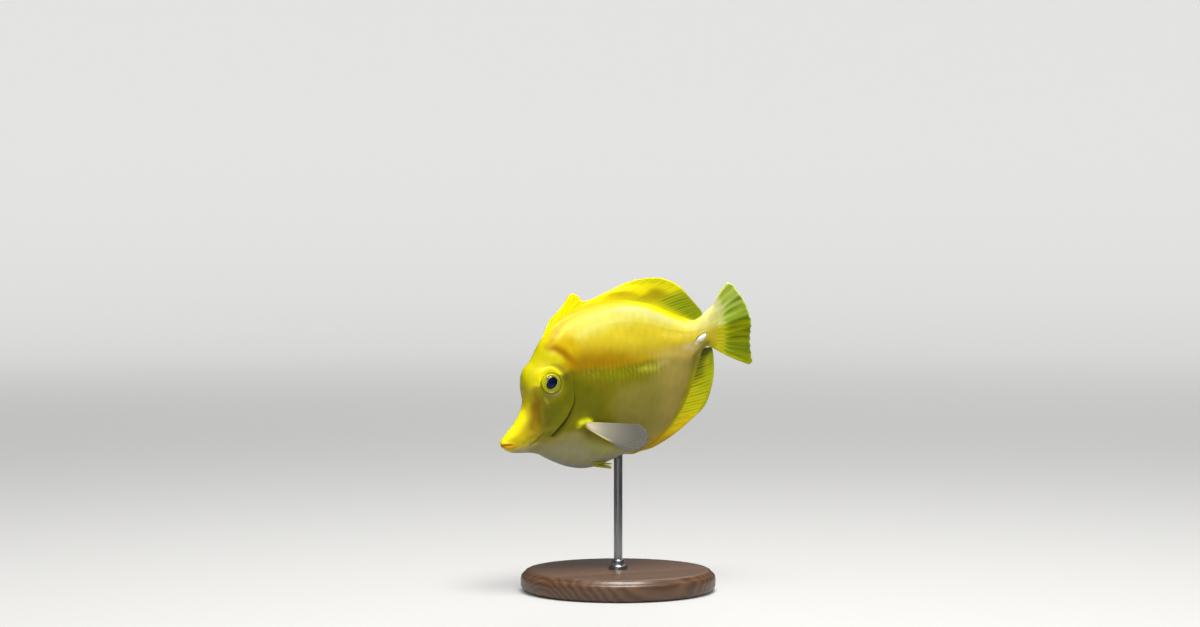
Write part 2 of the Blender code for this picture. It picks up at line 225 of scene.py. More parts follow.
def feed(socket, item):
    # item is a socket to link, a colour, or a plain value
    if isinstance(item, bpy.types.NodeSocket):
        socket.id_data.links.new(item, socket)
    else:
        socket.default_value = (*item, 1) if socket.type == "RGBA" else item


def addNode(tree, kind, **settings):
    node = tree.nodes.new(f"ShaderNode{kind}")
    for key, value in settings.items():
        if key in node.inputs:
            feed(node.inputs[key], value)
        else:
            setattr(node, key, value)
    return node


def newMaterial(name, finish):
    made = bpy.data.materials.new(name)
    made.use_nodes = True
    shader = made.node_tree.nodes["Principled BSDF"]
    for key, value in finish.items():
        feed(shader.inputs[key], value)
    return made, made.node_tree, shader


def mixColour(tree, factor, low, high):
    node = addNode(tree, "Mix", data_type="RGBA")
    for index, item in ((0, factor), (6, low), (7, high)):  # its sockets for colours
        feed(node.inputs[index], item)
    return node.outputs[2]


def sums(tree, operation, *items):
    node = addNode(tree, "Math", operation=operation)
    for socket, item in zip(node.inputs, items):
        feed(socket, item)
    return node.outputs[0]


def rampNode(tree, value, low, high, start=0.0, end=1.0):
    limits = {"Value": value, "From Min": low, "From Max": high, "To Min": start, "To Max": end}
    return addNode(tree, "MapRange", interpolation_type="SMOOTHSTEP", **limits).outputs["Result"]


def attribute(tree, name):
    return addNode(tree, "Attribute", attribute_name=name).outputs["Vector"]


def objectPlace(tree):
    return addNode(tree, "TexCoord").outputs["Object"]


def stretched(tree, place, scale, location=(0, 0, 0)):
    node = addNode(tree, "Mapping", vector_type="POINT", Scale=scale, Location=location, Vector=place)
    return node.outputs[0]


def split(tree, vector):
    return addNode(tree, "SeparateXYZ", Vector=vector).outputs


def makeDriftGroup():
    # slow colour drift and fine grain, used by every material
    group = bpy.data.node_groups.new("colourDrift", "ShaderNodeTree")
    for way, name, kind in (
            ("INPUT", "Vector", "Vector"), ("INPUT", "Colour", "Color"), ("INPUT", "Scale", "Float"),
            ("INPUT", "Amount", "Float"), ("OUTPUT", "Colour", "Color"), ("OUTPUT", "Value", "Float")):
        group.interface.new_socket(name, in_out=way, socket_type=f"NodeSocket{kind}")
    inside, outside = group.nodes.new("NodeGroupInput"), group.nodes.new("NodeGroupOutput")
    given = inside.outputs
    noise = addNode(
        group, "TexNoise", Detail=5.0, Roughness=0.6, Vector=given["Vector"], Scale=given["Scale"])
    centred = sums(group, "SUBTRACT", noise.outputs["Fac"], 0.5)
    change = sums(group, "MULTIPLY_ADD", centred, given["Amount"], 1.0)
    hue = addNode(group, "HueSaturation", Color=given["Colour"], Value=change)
    feed(outside.inputs["Colour"], hue.outputs[0])
    feed(outside.inputs["Value"], noise.outputs["Fac"])
    return group


driftGroup = makeDriftGroup()


def drift(tree, vector, colour, scale, amount):
    node = addNode(
        tree, "Group", node_tree=driftGroup, Vector=vector, Colour=colour, Scale=scale, Amount=amount)
    return node.outputs["Colour"], node.outputs["Value"]


def bump(tree, shader, height, distance, strength):
    node = addNode(tree, "Bump", Strength=strength, Distance=distance, Height=height)
    feed(shader.inputs["Normal"], node.outputs[0])


# the skin: head, jaws, gill covers, trunk and tail stalk in one closed mesh
skin = {
    "stations": 262,
    "sides": 226,
    "scaleSize": 0.0068,
    "scaleDepth": 0.00002,  # metres
    "scaleShade": (0.30, 0.20, 0.01),
    "finish": {"Roughness": 0.40, "Specular IOR Level": 0.14, "Coat Weight": 0.03, "Coat Roughness": 0.30},
    "ground": (213, 192, 46),
    "flank": (0.010, 0.028),  # half widths between which the flank's shapes begin to show
    # height or depth, then width
    "gillLift": (0.0036, 0.016),
    "gillDrop": (0.0062, 0.0065),
    "gillHollow": (0.0022, 0.016),
    "lips": (0.0020, 0.0050),
    "mouth": (0.0013, 0.0024),
    "finFoot": (0.0022, 0.0080),
    "cheekFold": (0.0007, 0.0016),  # depth at its top, and what it gains by its foot
    "nostrilRim": 0.0020,
    "nostrilDepth": 0.0022,
    "streakHeight": 0.0007,
    "streakGap": 0.0205,
    "streakLean": 0.36,
    "scalpelPlace": (0.949, -0.020),
    "scalpelLift": 18.0,  # degrees
    "slot": (0.033, 0.0135),
    "slotLip": 0.0014,
    "slotDepth": 0.0050,
    "sheathHeight": 0.021,
    "sheathBelow": 0.8,  # part of that height along the anal fin
    "sheathWidth": 0.0075,
    "unevenness": 0.0006,
}
skinPaths = {
    "gillEdge": (
        (352, 78), (353, 50), (346, 24), (337, 0), (332, -22), (324, -42), (308, -61), (290, -78), (271, -94),
        (238, -114), (202, -133), (184, -142)),
    "cheekFold": ((290, -20), (270, -60), (225, -95), (168, -120), (135, -134), (100, -148)),
    "mouthSlit": ((-12, -99.5), (10, -105), (34, -115)),
    "streakRow": ((372, 46), (470, 14), (560, -18), (660, -40), (790, -60)),
    "finFoot": ((345, 212), (400, 232), (470, 241), (560, 240), (660, 224)),
}
nostrils = ((0.2215, -0.004, 0.0042), (0.2120, -0.0165, 0.0030))  # x, z and size
# plain swellings and hollows: height, width, the half widths between which they begin to show, path
skinFolds = {
    "lipFold": (-0.5, 4, (-2, -1), ((46, -50), (54, -90), (58, -135), (52, -180))),
    "sideLine": (0.7, 4, (10, 28), (
        (352, 105), (395, 150), (460, 180), (560, 182), (660, 160), (760, 112), (840, 58), (910, 22),
        (985, 12))),
    "beforeEye": (-4, 17, (10, 28), ((205, 10), (150, -60), (105, -110))),
    "behindBrow": (-4, 20, (10, 28), ((335, 170), (372, 115))),
    "midFlank": (-3, 40, (10, 28), ((400, 60), (550, 25), (700, -10))),
    "pectoralFoot": (11.5, 13.5, (10, 28), ((312, -141), (338, -142), (352, -150))),
    "pelvicFoot": (3.5, 12, (20, 30), ((318, -322), (345, -333))),
}

eyes = {
    "centre": (0.263, 0.0675, 0.056),
    "forward": -0.10,
    "upward": 0.14,
    "opening": 0.0405,
    "crest": (0.0008, 0.0042),  # height of the rim below, and what the brow adds
    "wallDepth": 0.026,
    "ballRadius": 0.0412,
    "ballDepth": 0.0310,
    "ballSunk": 0.0125,
    "pupil": (0.0258, 0.0184),
    "pupilTilt": 26.0,  # degrees
    "irisRadius": 0.0388,
}


def eyeFrame(side):
    # centre of the opening, outward axis, and the two directions across it
    x, y, z = eyes["centre"]
    axis = Vector((eyes["forward"], side, eyes["upward"])).normalized()
    across = Vector((1, 0, 0)) - axis * axis.x
    across.normalize()
    rise = axis.cross(across) if side > 0 else across.cross(axis)
    if rise.z < 0:
        rise = -rise
    return np.array((x, side * y, z)), np.array(axis), np.array(across), np.array(rise)


def slotPlace(x, z):
    # scaled place in the scalpel's slot: 1 on its edge
    lift = math.radians(skin["scalpelLift"])
    dx, dz = x - skin["scalpelPlace"][0], z - skin["scalpelPlace"][1]
    u = dx * math.cos(lift) + dz * math.sin(lift)
    v = dz * math.cos(lift) - dx * math.sin(lift)
    return np.hypot(u / skin["slot"][0], v / skin["slot"][1])


def refineSkin(mesh):
    # more faces where the skin has fine shapes: once round them, twice on the sharpest edges
    for level in (1, 2):
        mesh.faces.ensure_lookup_table()
        middles = np.array([face.calc_center_median() for face in mesh.faces])
        x, y, z = onBody(middles[:, 0], math.tau * middles[:, 1]).T
        fromEye = np.hypot(x - eyes["centre"][0], z - eyes["centre"][2] + 0.002) / eyes["opening"]
        fromGill = gapTo(x, z, skinPaths["gillEdge"])
        if level == 1:
            wanted = (fromEye < 1.9) | (fromGill < 0.012) | (slotPlace(x, z) < 1.9)
            ridge = (np.abs(y) < 0.016) & (x < 0.93)
            wanted |= ridge & (z > 0) & (x > 0.34)
            wanted |= ridge & (z < -0.05) & (x > 0.48)
            for nostrilX, nostrilZ, size in nostrils:
                wanted |= np.hypot(x - nostrilX, z - nostrilZ) < 3 * size
        else:
            wanted = (fromEye > 0.72) & (fromEye < 1.38) | (fromGill < 0.0035)
        edges = {edge for face, take in zip(mesh.faces, wanted) if take for edge in face.edges}
        bmesh.ops.subdivide_edges(mesh, edges=list(edges), cuts=1, use_grid_fill=True)


def sheathLift(x, z, y):
    # the scaly sheath along the feet of the dorsal and anal fins
    above = z > -0.03
    start = np.where(above, ramp(x, 0.325, 0.375), ramp(x, 0.475, 0.53))
    height = skin["sheathHeight"] * start * (1 - ramp(x, 0.90, 0.945))
    height = height * np.where(above, 1.0, skin["sheathBelow"])
    return height * np.exp(-(np.abs(y) / skin["sheathWidth"]) ** 1.7)


def skinRelief(x, y, z):
    # how far each place stands out or in, along the surface's normal
    thick = np.abs(y)
    flank = ramp(thick, *skin["flank"])
    (lift, liftWidth), (drop, dropWidth), (hollow, hollowWidth), (lips, lipWidth), (mouth, mouthWidth) = (
        skin[name] for name in ("gillLift", "gillDrop", "gillHollow", "lips", "mouth"))
    gap, share, side, _ = alongPath(x, z, skinPaths["gillEdge"])
    behind = np.where(side > 0, gap, -gap)
    fade = ramp(share, 0, 0.10) * (0.35 + 0.65 * ramp(share, 0.30, 0.70)) * (1 - ramp(share, 0.93, 1))
    cover = np.where(behind < 0, np.exp(np.minimum(behind, 0) / liftWidth), 0) * lift
    groove = np.where(behind >= 0, np.exp(-np.maximum(behind, 0) / dropWidth), 0) * drop
    relief = flank * fade * (cover - groove - hollow * hump(behind - 0.012, hollowWidth))
    gap, share, _, _ = alongPath(x, z, skinPaths["cheekFold"])
    shallow, gain = skin["cheekFold"]
    relief -= flank * (shallow + gain * ramp(share, 0.5, 0.8)) * hump(gap, 0.0030)
    gap, share, _, _ = alongPath(x, z, skinPaths["mouthSlit"])
    relief += lips * hump(gap - 0.0068, lipWidth) * (1 - ramp(x, 0.035, 0.058))
    relief -= mouth * hump(gap, mouthWidth) * (1 - ramp(share, 0.90, 1))
    for nostrilX, nostrilZ, size in nostrils:
        far = np.hypot(x - nostrilX, z - nostrilZ) / size
        hole = skin["nostrilRim"] * hump(far - 1.15, 0.45) - skin["nostrilDepth"] * hump(far, 0.75)
        relief += flank * hole
    gap, share, _, _ = alongPath(x, z, skinPaths["streakRow"])
    ripple = np.cos((x - skin["streakLean"] * z) * math.tau / skin["streakGap"]) * hump(gap, 0.030)
    relief += flank * skin["streakHeight"] * ripple * ramp(share, 0, 0.1) * (1 - ramp(share, 0.9, 1))
    for height, width, shown, path in skinFolds.values():
        relief += height / 1000 * ramp(thick * 1000, *shown) * hump(gapTo(x, z, path), width / 1000)
    slot = slotPlace(x, z)
    relief += flank * skin["slotLip"] * hump(slot - 1.25, 0.30)
    relief -= flank * skin["slotDepth"] * (1 - ramp(slot, 0.45, 1))
    # folds at the front of the dorsal fin's foot
    gap, share, _, _ = alongPath(x, z, skinPaths["finFoot"])
    along = ramp(share, 0, 0.1) * (1 - ramp(share, 0.7, 1))
    depth, width = skin["finFoot"]
    relief -= depth * ramp(thick, 0.006, 0.014) * hump(gap, width) * along
    return relief + skin["unevenness"] * wobble(x, z, 0.05) * flank


def openEyes(points):
    # levels the skin round each eye into a rim, with a brow above
    low, gain = eyes["crest"]
    for side in (-1, 1):
        centre, axis, _, rise = eyeFrame(side)
        offset = points - centre
        height = offset @ axis
        flatWay = offset - height[:, None] * axis
        far = np.linalg.norm(flatWay, axis=1) / eyes["opening"]
        upness = (flatWay @ rise) / np.maximum(far * eyes["opening"], 1e-6)
        past = far - 1.10 - 0.36 * ramp(upness, 0.1, 1)
        rim = (low + gain * ramp(upness, -0.2, 0.8)) * hump(past, np.where(past < 0, 0.42, 0.18))
        rim = rim - 0.0010 * ramp(far, 1.5, 1.8)
        rim = np.where(far < 1.10, rim - eyes["wallDepth"] * (1 - ramp(far, 0.87, 0.995)), rim)
        blend = ramp(far, 1.16 + 0.26 * ramp(upness, 0, 1), 2.0)
        wanted = rim * (1 - blend) + height * blend
        mine = (points[:, 1] * side > 0) & (far < 2.1)
        points = np.where(mine[:, None], points + axis * (wanted - height)[:, None], points)
    return points


def over(colours, paint, strength):
    # lays one colour over others; colours are from 0 to 255, as the eye sees them
    strength = np.clip(strength, 0, 1)[:, None]
    return colours * (1 - strength) + np.array(paint, float) * strength


def asLight(colours):
    # from colours as seen to the amounts of light that a material takes
    return (colours / 255) ** 2.2


def areaDepth(x, z, outline):
    # how far inside a closed outline each place is, below 0 outside it
    outline = outline + outline[:1]
    within = np.zeros(x.shape, bool)
    for start, end in zip(outline, outline[1:]):
        (ax, az), (bx, bz) = np.array((start, end)) / 1000
        crossed = (az > z) != (bz > z)
        within ^= crossed & (x < ax + (z - az) * (bx - ax) / (bz - az + 1e-9))
    gap = gapTo(x, z, outline)
    return np.where(within, gap, -gap)


def layMarks(colours, x, z, marks):
    # each mark is a colour, its edge's fade, and an outline of x and z or a stroke of x, z and half width
    for paint, fade, shape in marks.values():
        if len(shape[0]) == 2:
            depth = areaDepth(x, z, shape)
        else:
            gap, _, _, width = alongPath(x, z, shape)
            depth = width - gap
        colours = over(colours, paint, ramp(depth * 1000, -fade, fade))
    return colours


def paintSkin(x, y, z):
    # the skin's colour at every place: broad marks, streaks, the fins' sheaths, fine lines, gill and slot
    def lay(name, amount):
        nonlocal colours
        paint, strength = skinEdges[name]
        colours = over(colours, paint, strength * amount)

    colours = np.tile(np.array(skin["ground"], float), (len(x), 1))
    softX, softZ = x + 0.004 * wobble(x, z, 0.06, 1.0), z + 0.004 * wobble(x, z, 0.06, 4.0)
    colours = layMarks(colours, softX, softZ, skinMarks)
    leaned = x - skin["streakLean"] * z
    mottle = 0.028 * wobble(x, z, 0.05, 7.0) + 0.016 * wobble(leaned, 0.22 * z, 0.017, 3.0)
    colours = colours * (1 + mottle * ramp(x, 0.02, 0.12))[:, None]
    gap, share, _, _ = alongPath(x, z, skinPaths["streakRow"])
    row = ramp(share, 0, 0.15) * (1 - ramp(share, 0.88, 1)) * hump(gap, 0.033)
    row = row * (0.60 + 0.40 * wobble(x, z, 0.035, 2.0))
    phase = np.cos((leaned + 0.0022 * wobble(x, z, 0.05)) * math.tau / skin["streakGap"])
    lay("streakDark", row * ramp(-phase, -0.2, 1))
    lay("streakPale", (0.52 + 0.30 * ramp(share, 0.4, 0.9)) * row * ramp(phase, -0.2, 1))
    near = (np.abs(y) < 0.03) * np.clip(sheathLift(x, z, y * 0.75) / (0.5 * skin["sheathHeight"]), 0, 1)
    lay("sheath", np.where(z > 0, near, 0))
    lay("sheathBelow", np.where(z < 0, near, 0))
    colours = layMarks(colours, x, z, skinLines)
    gap, share, side, _ = alongPath(x, z, skinPaths["gillEdge"])
    fade = (0.10 + 0.90 * ramp(share, 0.25, 0.60)) * ramp(share, 0, 0.08) * (1 - ramp(share, 0.95, 1))
    after, before = np.where(side > 0, gap, np.inf), np.where(side < 0, gap, np.inf)
    # painted shade behind the gill cover's edge
    lay("gillBehindShade", fade * hump(after - 0.010, 0.012))
    lay("gillRim", fade * hump(before - 0.0045, 0.0030))
    lay("gillShade", fade * hump(np.where(side > 0, gap - 0.0015, gap), 0.0036))
    lay("slotRim", 1 - ramp(slotPlace(x, z), 0.85, 1.10))
    return asLight(colours)


def eyeArc(first, last, far, width, rise=0.0):
    # a stroke round the eye between two angles, at a share of the opening that grows upwards
    angles = np.radians(np.linspace(first, last, 9))
    middleX, _, middleZ = eyes["centre"]
    reach = eyes["opening"] * (far + rise * (np.sin(angles) - 0.7))
    x, z = middleX + reach * np.cos(angles), middleZ + reach * np.sin(angles)
    widths = width * np.sin(np.linspace(0.15, 0.85, 9) * math.pi) ** 0.7
    return tuple(zip(x * 1000, z * 1000, widths))


# broad marks, painted in this order
skinMarks = {
    # painted highlight: pale cream over the upper back and towards the tail, where the light from above falls
    # brightest
    "backHighlight": ((216, 209, 98), 32, (
        (420, 170), (450, 215), (530, 240), (640, 236), (730, 208), (820, 140), (900, 65), (860, 55),
        (800, 90), (720, 135), (620, 158), (500, 165))),
    "rearHighlight": ((205, 201, 125), 22, ((660, 212, 8), (740, 180, 16), (820, 118, 16), (880, 72, 6))),
    "gold": ((190, 162, 36), 40, (
        (340, 160), (400, 158), (500, 130), (580, 90), (660, 48), (740, 14), (820, -10), (840, -30),
        (800, -60), (600, 0), (360, 60))),
    "brownBand": ((158, 120, 4), 40, (
        (335, 105), (360, 130), (410, 114), (480, 90), (550, 58), (620, 20), (670, -10), (700, -30),
        (600, -50), (450, 0), (340, 40))),
    # painted shade: the lower half of the flank darkened to olive, tan and grey, as if out of the light from
    # above
    "lowerHalfShade": ((119, 112, 16), 14, (
        (355, 70), (378, 62), (408, 59), (440, 46), (476, 33), (500, 18), (556, 2), (604, -8), (648, -18),
        (700, -22), (760, -38), (840, -55), (920, -100), (900, -240), (700, -420), (300, -420),
        (120, -240), (160, -100), (240, 0), (300, 60))),
    "lowMiddleShade": ((138, 128, 54), 45, (
        (520, -70), (660, -85), (800, -90), (900, -110), (800, -300), (600, -400), (440, -400),
        (460, -140))),
    "lowRearShade": ((166, 148, 72), 50, (
        (715, -80), (780, -40), (900, -50), (880, -160), (800, -280), (660, -380), (560, -330),
        (640, -270), (720, -190))),
    "rearGold": ((200, 174, 84), 30, ((745, -12, 10), (800, -30, 18), (880, -48, 30))),
    "stalkGold": ((238, 214, 72), 24, ((800, 50, 6), (860, 20, 12), (920, 8, 14))),
    "stalkPale": ((236, 228, 130), 26, ((890, 50, 6), (930, 34, 14), (980, 30, 26), (1050, 50, 45))),
    "stalkBright": ((254, 252, 160), 26, ((985, 62, 12), (1030, 80, 30), (1070, 90, 40))),
    "stalkTan": ((216, 194, 142), 18, ((872, -30, 6), (905, -42, 16), (930, -46, 10))),
    "stalkUnder": ((138, 124, 58), 14, ((900, -88, 8), (950, -58, 8), (978, -48, 8))),
    "stalkOlive": ((204, 190, 34), 16, ((985, -30, 4), (990, -60, 12), (985, -90, 12))),
    "tailRoot": ((208, 206, 26), 14, ((1054, 12, 4), (1034, -30, 10), (1012, -72, 12), (996, -105, 12))),
    "tailTop": ((226, 234, 112), 14, ((1078, 110, 4), (1066, 40, 8), (1054, 12, 4))),
    # painted shade: the shoulder behind the gill cover in dark olive
    "shoulderShade": ((104, 104, 3), 28, (
        (330, 50), (370, 34), (420, -15), (445, -80), (430, -145), (370, -150), (320, -90))),
    "shoulderGrey": ((104, 104, 28), 14, ((345, -50, 10), (365, -65, 14))),
    "greenRow": ((121, 124, 3), 16, ((440, 15, 12), (500, -15, 18), (580, -32, 20), (660, -52, 16))),
    "limeRow": ((178, 182, 60), 15, ((650, -44, 6), (680, -50, 11), (730, -58, 10))),
    "tanRow": ((182, 166, 96), 18, ((745, -50, 10), (780, -58, 10))),
    # painted shade: a faint dark line on the flank behind the pectoral fin
    "finFoldShade": ((112, 98, 40), 6, ((452, -12, 1), (444, -45, 3), (431, -80, 1))),
    "socket": ((122, 116, 8), 12, eyeArc(-215, 35, 1.16, 10)),
    # painted shade: the cheek and the gill cover darkened to olive, with a lighter, better lit strip lower
    # down (cheekLit)
    "cheekShade": ((103, 103, 6), 18, (
        (350, 75), (325, 74), (306, 50), (300, 25), (270, 6), (235, 16), (205, 62), (188, 50), (186, 0),
        (180, -50), (160, -100), (150, -138), (190, -142), (260, -110), (320, -50))),
    "cheekFront": ((126, 108, 8), 16, (
        (186, 36, 10), (184, 0, 14), (172, -50, 16), (156, -100, 14), (140, -135, 8))),
    "cheekFoot": ((140, 128, 46), 14, ((105, -135, 6), (150, -135, 10), (185, -150, 6))),
    "cheekLit": ((118, 119, 10), 18, ((275, -62, 6), (245, -85, 12), (215, -95, 8))),
    "cheekPale": ((136, 127, 44), 18, ((215, -112, 4), (180, -108, 12), (150, -118, 14))),
    "preEye": ((130, 120, 34), 20, ((196, 56, 8), (194, 35, 10), (210, 10, 8), (210, -20, 4))),
    "underEye": ((106, 100, 52), 9, ((228, 20, 6), (250, 6, 6), (278, 8, 4))),
    "snoutSide": ((206, 184, 18), 16, ((30, -108, 10), (70, -104, 16), (100, -90, 12))),
    "snoutTan": ((160, 140, 28), 16, ((85, -122, 6), (115, -112, 14), (138, -110, 14), (148, -90, 10))),
    "snoutTop": ((234, 226, 22), 12, (
        (-30, -100), (-20, -70), (60, -30), (110, 0), (138, 12), (136, -15), (122, -45), (95, -75),
        (50, -94), (10, -98))),
    # painted shade: the front of the forehead, turned away from the light
    "foreheadShade": ((182, 172, 6), 16, ((145, 4, 4), (160, 30, 6), (166, 60, 7), (178, 88, 4))),
    "backYellow": ((228, 216, 10), 7, (
        (300, 190), (340, 196), (385, 212), (430, 232), (500, 243), (600, 237), (700, 213), (780, 172),
        (860, 98), (920, 56), (950, 100), (800, 240), (600, 300), (400, 300), (280, 230))),
    "crown": ((200, 193, 14), 14, (
        (160, 80), (190, 78), (210, 86), (225, 120), (270, 156), (310, 165), (325, 200), (380, 232),
        (420, 275), (300, 260), (200, 170), (150, 130))),
    "ridge": ((212, 200, 8), 12, ((300, 210, 10), (360, 240, 10))),
    # painted highlight: the pale crescent over the brow
    "brow": ((226, 220, 34), 12, (
        (208, 74, 4), (216, 98, 8), (240, 118, 10), (275, 122, 9), (305, 104, 7), (314, 78, 2))),
    "browRear": ((192, 188, 4), 15, ((280, 152, 8), (318, 140, 12), (338, 118, 8))),
    "napeGlow": ((200, 168, 8), 22, (
        (340, 205), (390, 205), (420, 175), (420, 140), (380, 120), (350, 150))),
    "nape": ((150, 106, 1), 15, (
        (312, 188, 6), (338, 172, 12), (356, 148, 12), (366, 120, 12), (380, 95, 8))),
    "snoutBrown": ((142, 106, 0), 20, (
        (184, 34, 1), (176, 5, 7), (165, -24, 11), (151, -52, 11), (130, -84, 6))),
    "mouth": ((226, 160, 24), 10, ((-4, -100, 6), (22, -114, 8), (50, -124, 4))),
    "jaw": ((184, 168, 138), 12, (
        (20, -140, 4), (60, -150, 9), (110, -156, 12), (150, -172, 14), (200, -190, 4))),
    "throat": ((136, 130, 50), 18, ((190, -160, 6), (230, -164, 10), (280, -170, 12))),
    "throatPale": ((148, 140, 84), 20, (
        (95, -158), (140, -148), (190, -158), (250, -150), (300, -165), (360, -225), (420, -300),
        (300, -330), (200, -280), (120, -200))),
    "belly": ((158, 154, 116), 26, (
        (110, -172), (180, -182), (240, -200), (300, -228), (360, -260), (440, -300), (540, -335),
        (600, -400), (300, -420), (80, -240))),
    "bellyLime": ((166, 168, 86), 24, ((330, -240, 12), (370, -275, 16), (420, -300, 6))),
    # painted reflection: a bluish edge along the belly
    "bellyEdgeReflection": ((120, 128, 158), 24, (
        (40, -160, 3), (100, -186, 6), (150, -238, 12), (220, -302, 18), (300, -348, 16), (400, -362, 12),
        (500, -362, 4))),
    "analFoot": ((196, 156, 8), 16, ((580, -352, 10), (660, -340, 12), (720, -312, 4))),
    "analRear": ((178, 174, 6), 14, ((700, -325, 6), (750, -295, 9), (820, -220, 10), (885, -130, 6))),
    # painted shadow: dark olive above the pectoral fin's root
    "chestShadow": ((116, 117, 10), 18, ((250, -132, 6), (300, -118, 12), (350, -115, 10))),
    "finRoot": ((214, 214, 26), 10, ((300, -146, 7), (318, -138, 10), (345, -140, 12), (360, -148, 8))),
}
# finer lines, painted after them
skinLines = {
    # painted highlight along the crest of the brow
    "browCrestHighlight": ((255, 252, 84), 5, eyeArc(18, 100, 1.4, 1.6, 0.1)),
    "cheekLine": ((110, 96, 22), 2.8, ((100, -148, 0.8), (135, -134, 1.4), (168, -120, 1))),
    "mouthLine": ((172, 112, 8), 4, ((-10, -100, 1.6), (10, -105, 2.4), (30, -113, 1.2))),
    "nostrilPale": ((146, 144, 74), 8, ((214, 10, 3), (218, -10, 3))),
    "ridgeShade": ((192, 160, 0), 11, (
        (306, 184, 4), (335, 204, 9), (372, 227, 10), (415, 245, 6), (480, 253, 3), (560, 250, 2),
        (660, 233, 0), (740, 198, -4))),
    # partly the bright yellow above the eye, partly painted light that lifts the shade of the hollow under
    # the brow
    "lidTopLight": ((252, 240, 4), 6, eyeArc(28, 165, 1.22, 7)),
    # painted shadow where the rim meets the eye in front
    "lidFrontShadow": ((106, 100, 4), 5, eyeArc(150, 218, 1.08, 2)),
    "lidRear": ((150, 150, 22), 3, eyeArc(-65, 30, 1.13, 1.6)),
    "lidBelow": ((150, 145, 108), 5, eyeArc(-145, -55, 1.17, 2.2)),
    "lidShade": ((150, 138, 2), 3, eyeArc(48, 86, 1.06, 1)),
}
# tints that follow the skin's own shapes, each with its strength
skinEdges = {
    "streakDark": ((112, 96, 6), 0.55),
    "streakPale": ((184, 178, 84), 1),
    "sheath": ((238, 226, 8), 0.8),
    "sheathBelow": ((176, 160, 26), 0.7),
    # painted shade: dark olive just behind the gill cover's edge
    "gillBehindShade": ((84, 84, 10), 0.5),
    "gillRim": ((138, 134, 44), 0.6),
    "gillShade": ((44, 40, 8), 0.85),
    "slotRim": ((220, 212, 220), 0.5),
}


def skinMaterial():
    made, tree, shader = newMaterial("fishSkin", skin["finish"])
    flat = attribute(tree, "flat")
    colour, _ = drift(tree, flat, attribute(tree, "tint"), 16.0, 0.07)
    # fine overlapping scales, a little darker between them
    place = stretched(tree, flat, (1.0, 1.0, 0.72))
    size = 1 / skin["scaleSize"]
    scales = addNode(tree, "TexVoronoi", feature="SMOOTH_F1", Scale=size, Smoothness=0.35, Vector=place)
    between = rampNode(tree, scales.outputs["Distance"], 0.25, 0.75)
    colour = mixColour(tree, sums(tree, "MULTIPLY", between, 0.05), colour, skin["scaleShade"])
    fine, grain = drift(tree, flat, colour, 260.0, 0.05)
    feed(shader.inputs["Base Color"], fine)
    height = sums(tree, "MULTIPLY_ADD", grain, 0.35, sums(tree, "SUBTRACT", 1.0, between))
    bump(tree, shader, height, skin["scaleDepth"], 0.8)
    rough = skin["finish"]["Roughness"]
    feed(shader.inputs["Roughness"], rampNode(tree, grain, 0.2, 0.8, rough - 0.07, rough + 0.09))
    return made


def buildSkin():
    mesh = gridMesh(skin["stations"], skin["sides"])
    refineSkin(mesh)
    share, turn, _ = placesOf(mesh).T
    movePoints(mesh, onBody(share, math.tau * turn))
    bmesh.ops.remove_doubles(mesh, verts=mesh.verts, dist=1e-6)
    bmesh.ops.holes_fill(mesh, edges=[edge for edge in mesh.edges if edge.is_boundary])
    faceOut(mesh)
    mesh.normal_update()
    points = placesOf(mesh)
    normals = np.array([vert.normal for vert in mesh.verts])
    x, y, z = points.T
    keepValues(mesh, "flat", points)
    keepValues(mesh, "tint", paintSkin(x, y, z))
    upright = normals * (1, 0, 1)
    upright /= np.maximum(np.linalg.norm(upright, axis=1), 1e-6)[:, None]
    raised = points + normals * skinRelief(x, y, z)[:, None] + upright * sheathLift(x, z, y)[:, None]
    movePoints(mesh, poseFish(openEyes(raised)))
    flesh = ("head", "trunk", "tail_stalk", "upper_jaw", "lower_jaw", "gill_cover_left", "gill_cover_right")
    finishPiece("body_skin", mesh, skinMaterial(), flesh)


buildSkin()
print("skin made")

# the fins: closed plates whose columns follow the rays
# foot x, tip x and tip z of the two fins on the midline, whose feet follow the body
dorsalRows = (
    (318, 377, 279), (345, 419, 293), (372, 464, 316), (392, 499, 339), (408, 518, 332), (424, 532, 313),
    (440, 540, 291), (480, 584, 284), (530, 665, 287), (580, 741, 291), (640, 814, 283), (700, 878, 260),
    (755, 928, 220), (810, 960, 153), (860, 981, 100), (905, 986, 70), (938, 975, 50))
analRows = (
    (490, 530, -362), (535, 597, -378), (585, 664, -374), (640, 739, -355), (700, 812, -326),
    (755, 873, -294), (805, 920, -237), (850, 954, -172), (890, 970, -118), (922, 975, -91),
    (948, 974, -74))
# foot x and z, tip x and z of the others
pectoralRows = (
    (-14, 13, 209, 62), (-7, 6.5, 246, 40), (0, 0, 256, -4), (6, -6, 226, -42), (12, -12, 164, -52))
pelvicRows = ((0, 10, 78, 10), (2, 1, 80, 0), (6, -9, 80, -15))
tailRows = (
    (1054, 108, 1143, 177), (1053, 74, 1161, 122), (1048, 41, 1178, 76), (1043, 11, 1183, 31),
    (1038, -16, 1182, -15), (1031, -43, 1163, -55), (1024, -67, 1144, -99), (1012, -86, 1129, -150),
    (991, -94, 1118, -202))


def middleRows(rows, angle):
    return [(x, 1000 * float(ridgeHeight(x / 1000, angle)), tipX, tipZ) for x, tipX, tipZ in rows]


def band(value, low, high, fade):
    return ramp(value, low - fade, low + fade) * (1 - ramp(value, high - fade, high + fade))


